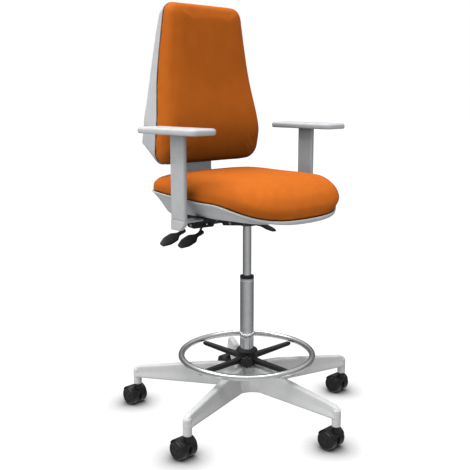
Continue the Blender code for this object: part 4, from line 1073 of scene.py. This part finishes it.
# ---- the chair ----
star_base()
column()
footring_ring()
footring_spider()
footring_knob()
castors()
for lever_name in LEVERS:
    lever(lever_name, 1 if lever_name == "height_lever" else -1)
spring()
seat_cushion()
seat_shell()
back_cushion()
back_shell()
back_frame()
for arm_side, arm_hand in SIDES:
    arm(arm_side, arm_hand)
refined("mechanism_housing", PAINT, 0.0012)
refined("seat_plate", PAINT, 0.0009)
refined("tilt_axle", STEEL, 0.0008)
refined("recline_axle", STEEL, 0.0008)
for inner_node in ("piston_rod", "retaining_clip", "thrust_bearing", "valve_button"):
    recoloured(inner_node, STEEL)
for board in ("seat_board", "back_board"):
    recoloured(board, WOOD)


# ---- stage ----
def stage():
    """A white floor that glows, with only painted soft contact shadows round the castors: ambient occlusion
    darkens its emission, but not near the hub.
    """
    bm = bmesh.new()
    bmesh.ops.create_grid(bm, x_segments=1, y_segments=1, size=30)
    floor = linked("floor", to_mesh(bm, "floor"))
    sheet = Finish("pale_floor", None, base_color=(0.0, 0.0, 0.0, 1.0), specular_ior_level=0.0,
                   emission_strength=1.0)
    # Painted contact shadow: the emission is darkened where ambient occlusion finds the castors close by.
    contact = sheet.add("AmbientOcclusion", {"Distance": 0.092}, samples=16).outputs["AO"]
    middle = ORIGIN * Vector((1, 1, 0))
    spot = sheet.add("VectorMath", {0: sheet.place(), 1: middle}, operation="DISTANCE")
    away = sheet.span(spot.outputs["Value"], 0.0, 1.0, 0.12, 0.28)
    shade = sheet.math("SUBTRACT", sheet.math("POWER", contact, 2.7), 1.0)
    pale = sheet.math("MULTIPLY", sheet.math("MULTIPLY_ADD", shade, away, 1.0), 1.10)
    grey = sheet.add("CombineColor", {0: pale, 1: pale, 2: pale}).outputs[0]
    sheet.set(sheet.shader, "Emission Color", grey)
    floor.data.materials.append(sheet.material)
    floor.visible_diffuse = False
    floor.visible_glossy = False


ROOM_LEVEL, ROOM_LEAN, OVERHEAD = 0.34, 0.22, 0.93
LENS, EYE = 56.735, (-1.65883, -1.63909, 1.0503)
EYE_DOWN, EYE_TURN = 10.772, -44.0757      # degrees


def studio():
    """A wide soft sun overhead, an even room that is a little brighter on the chair's right, and, for what
    polished metal mirrors, a room that is bright in front of the chair and dark beside it."""
    scene = bpy.context.scene
    scene.world = bpy.data.worlds.new("studio")
    room = Graph(scene.world)
    direction = room.add("TexCoord").outputs["Generated"]

    def towards(line):
        node = room.add("VectorMath", {0: direction, 1: line}, operation="DOT_PRODUCT")
        return node.outputs["Value"]

    even = room.math("MULTIPLY_ADD", towards((-1.0, 0.0, 0.0)), ROOM_LEAN, ROOM_LEVEL)
    facing = room.math("MULTIPLY_ADD", towards((-0.60, -0.80, 0.0)), 0.5, 0.5)
    panorama = room.math("MULTIPLY_ADD", room.math("POWER", facing, 2.2), 0.30, 0.13)
    height = room.add("SeparateXYZ", {"Vector": direction}).outputs["Z"]
    steep = room.span(room.math("ABSOLUTE", height), 0.0, 1.0, 0.28, 0.55)
    mirrored = room.mix(steep, panorama, (0.50, 0.50, 0.50, 1.0))
    rays = room.add("LightPath").outputs
    level = room.mix(rays["Is Glossy Ray"], even, mirrored)
    room.set(room.nodes["Background"], "Color", room.mix(rays["Is Camera Ray"], level, (1.0, 1.0, 1.0, 1.0)))
    light = bpy.data.lights.new("overhead", "SUN")
    light.energy = OVERHEAD * pi
    light.angle = radians(70)
    linked("overhead", light).rotation_euler = (radians(-4), radians(-6), 0)
    scene.view_settings.view_transform = "Standard"
    scene.cycles.diffuse_bounces = 0


def camera():
    data = bpy.data.cameras.new("camera")
    data.sensor_width = 36
    data.lens = LENS
    made = linked("camera", data)
    made.location = EYE
    made.rotation_euler = (radians(90 - EYE_DOWN), 0, radians(EYE_TURN))
    bpy.context.scene.camera = made


stage()
studio()
camera()
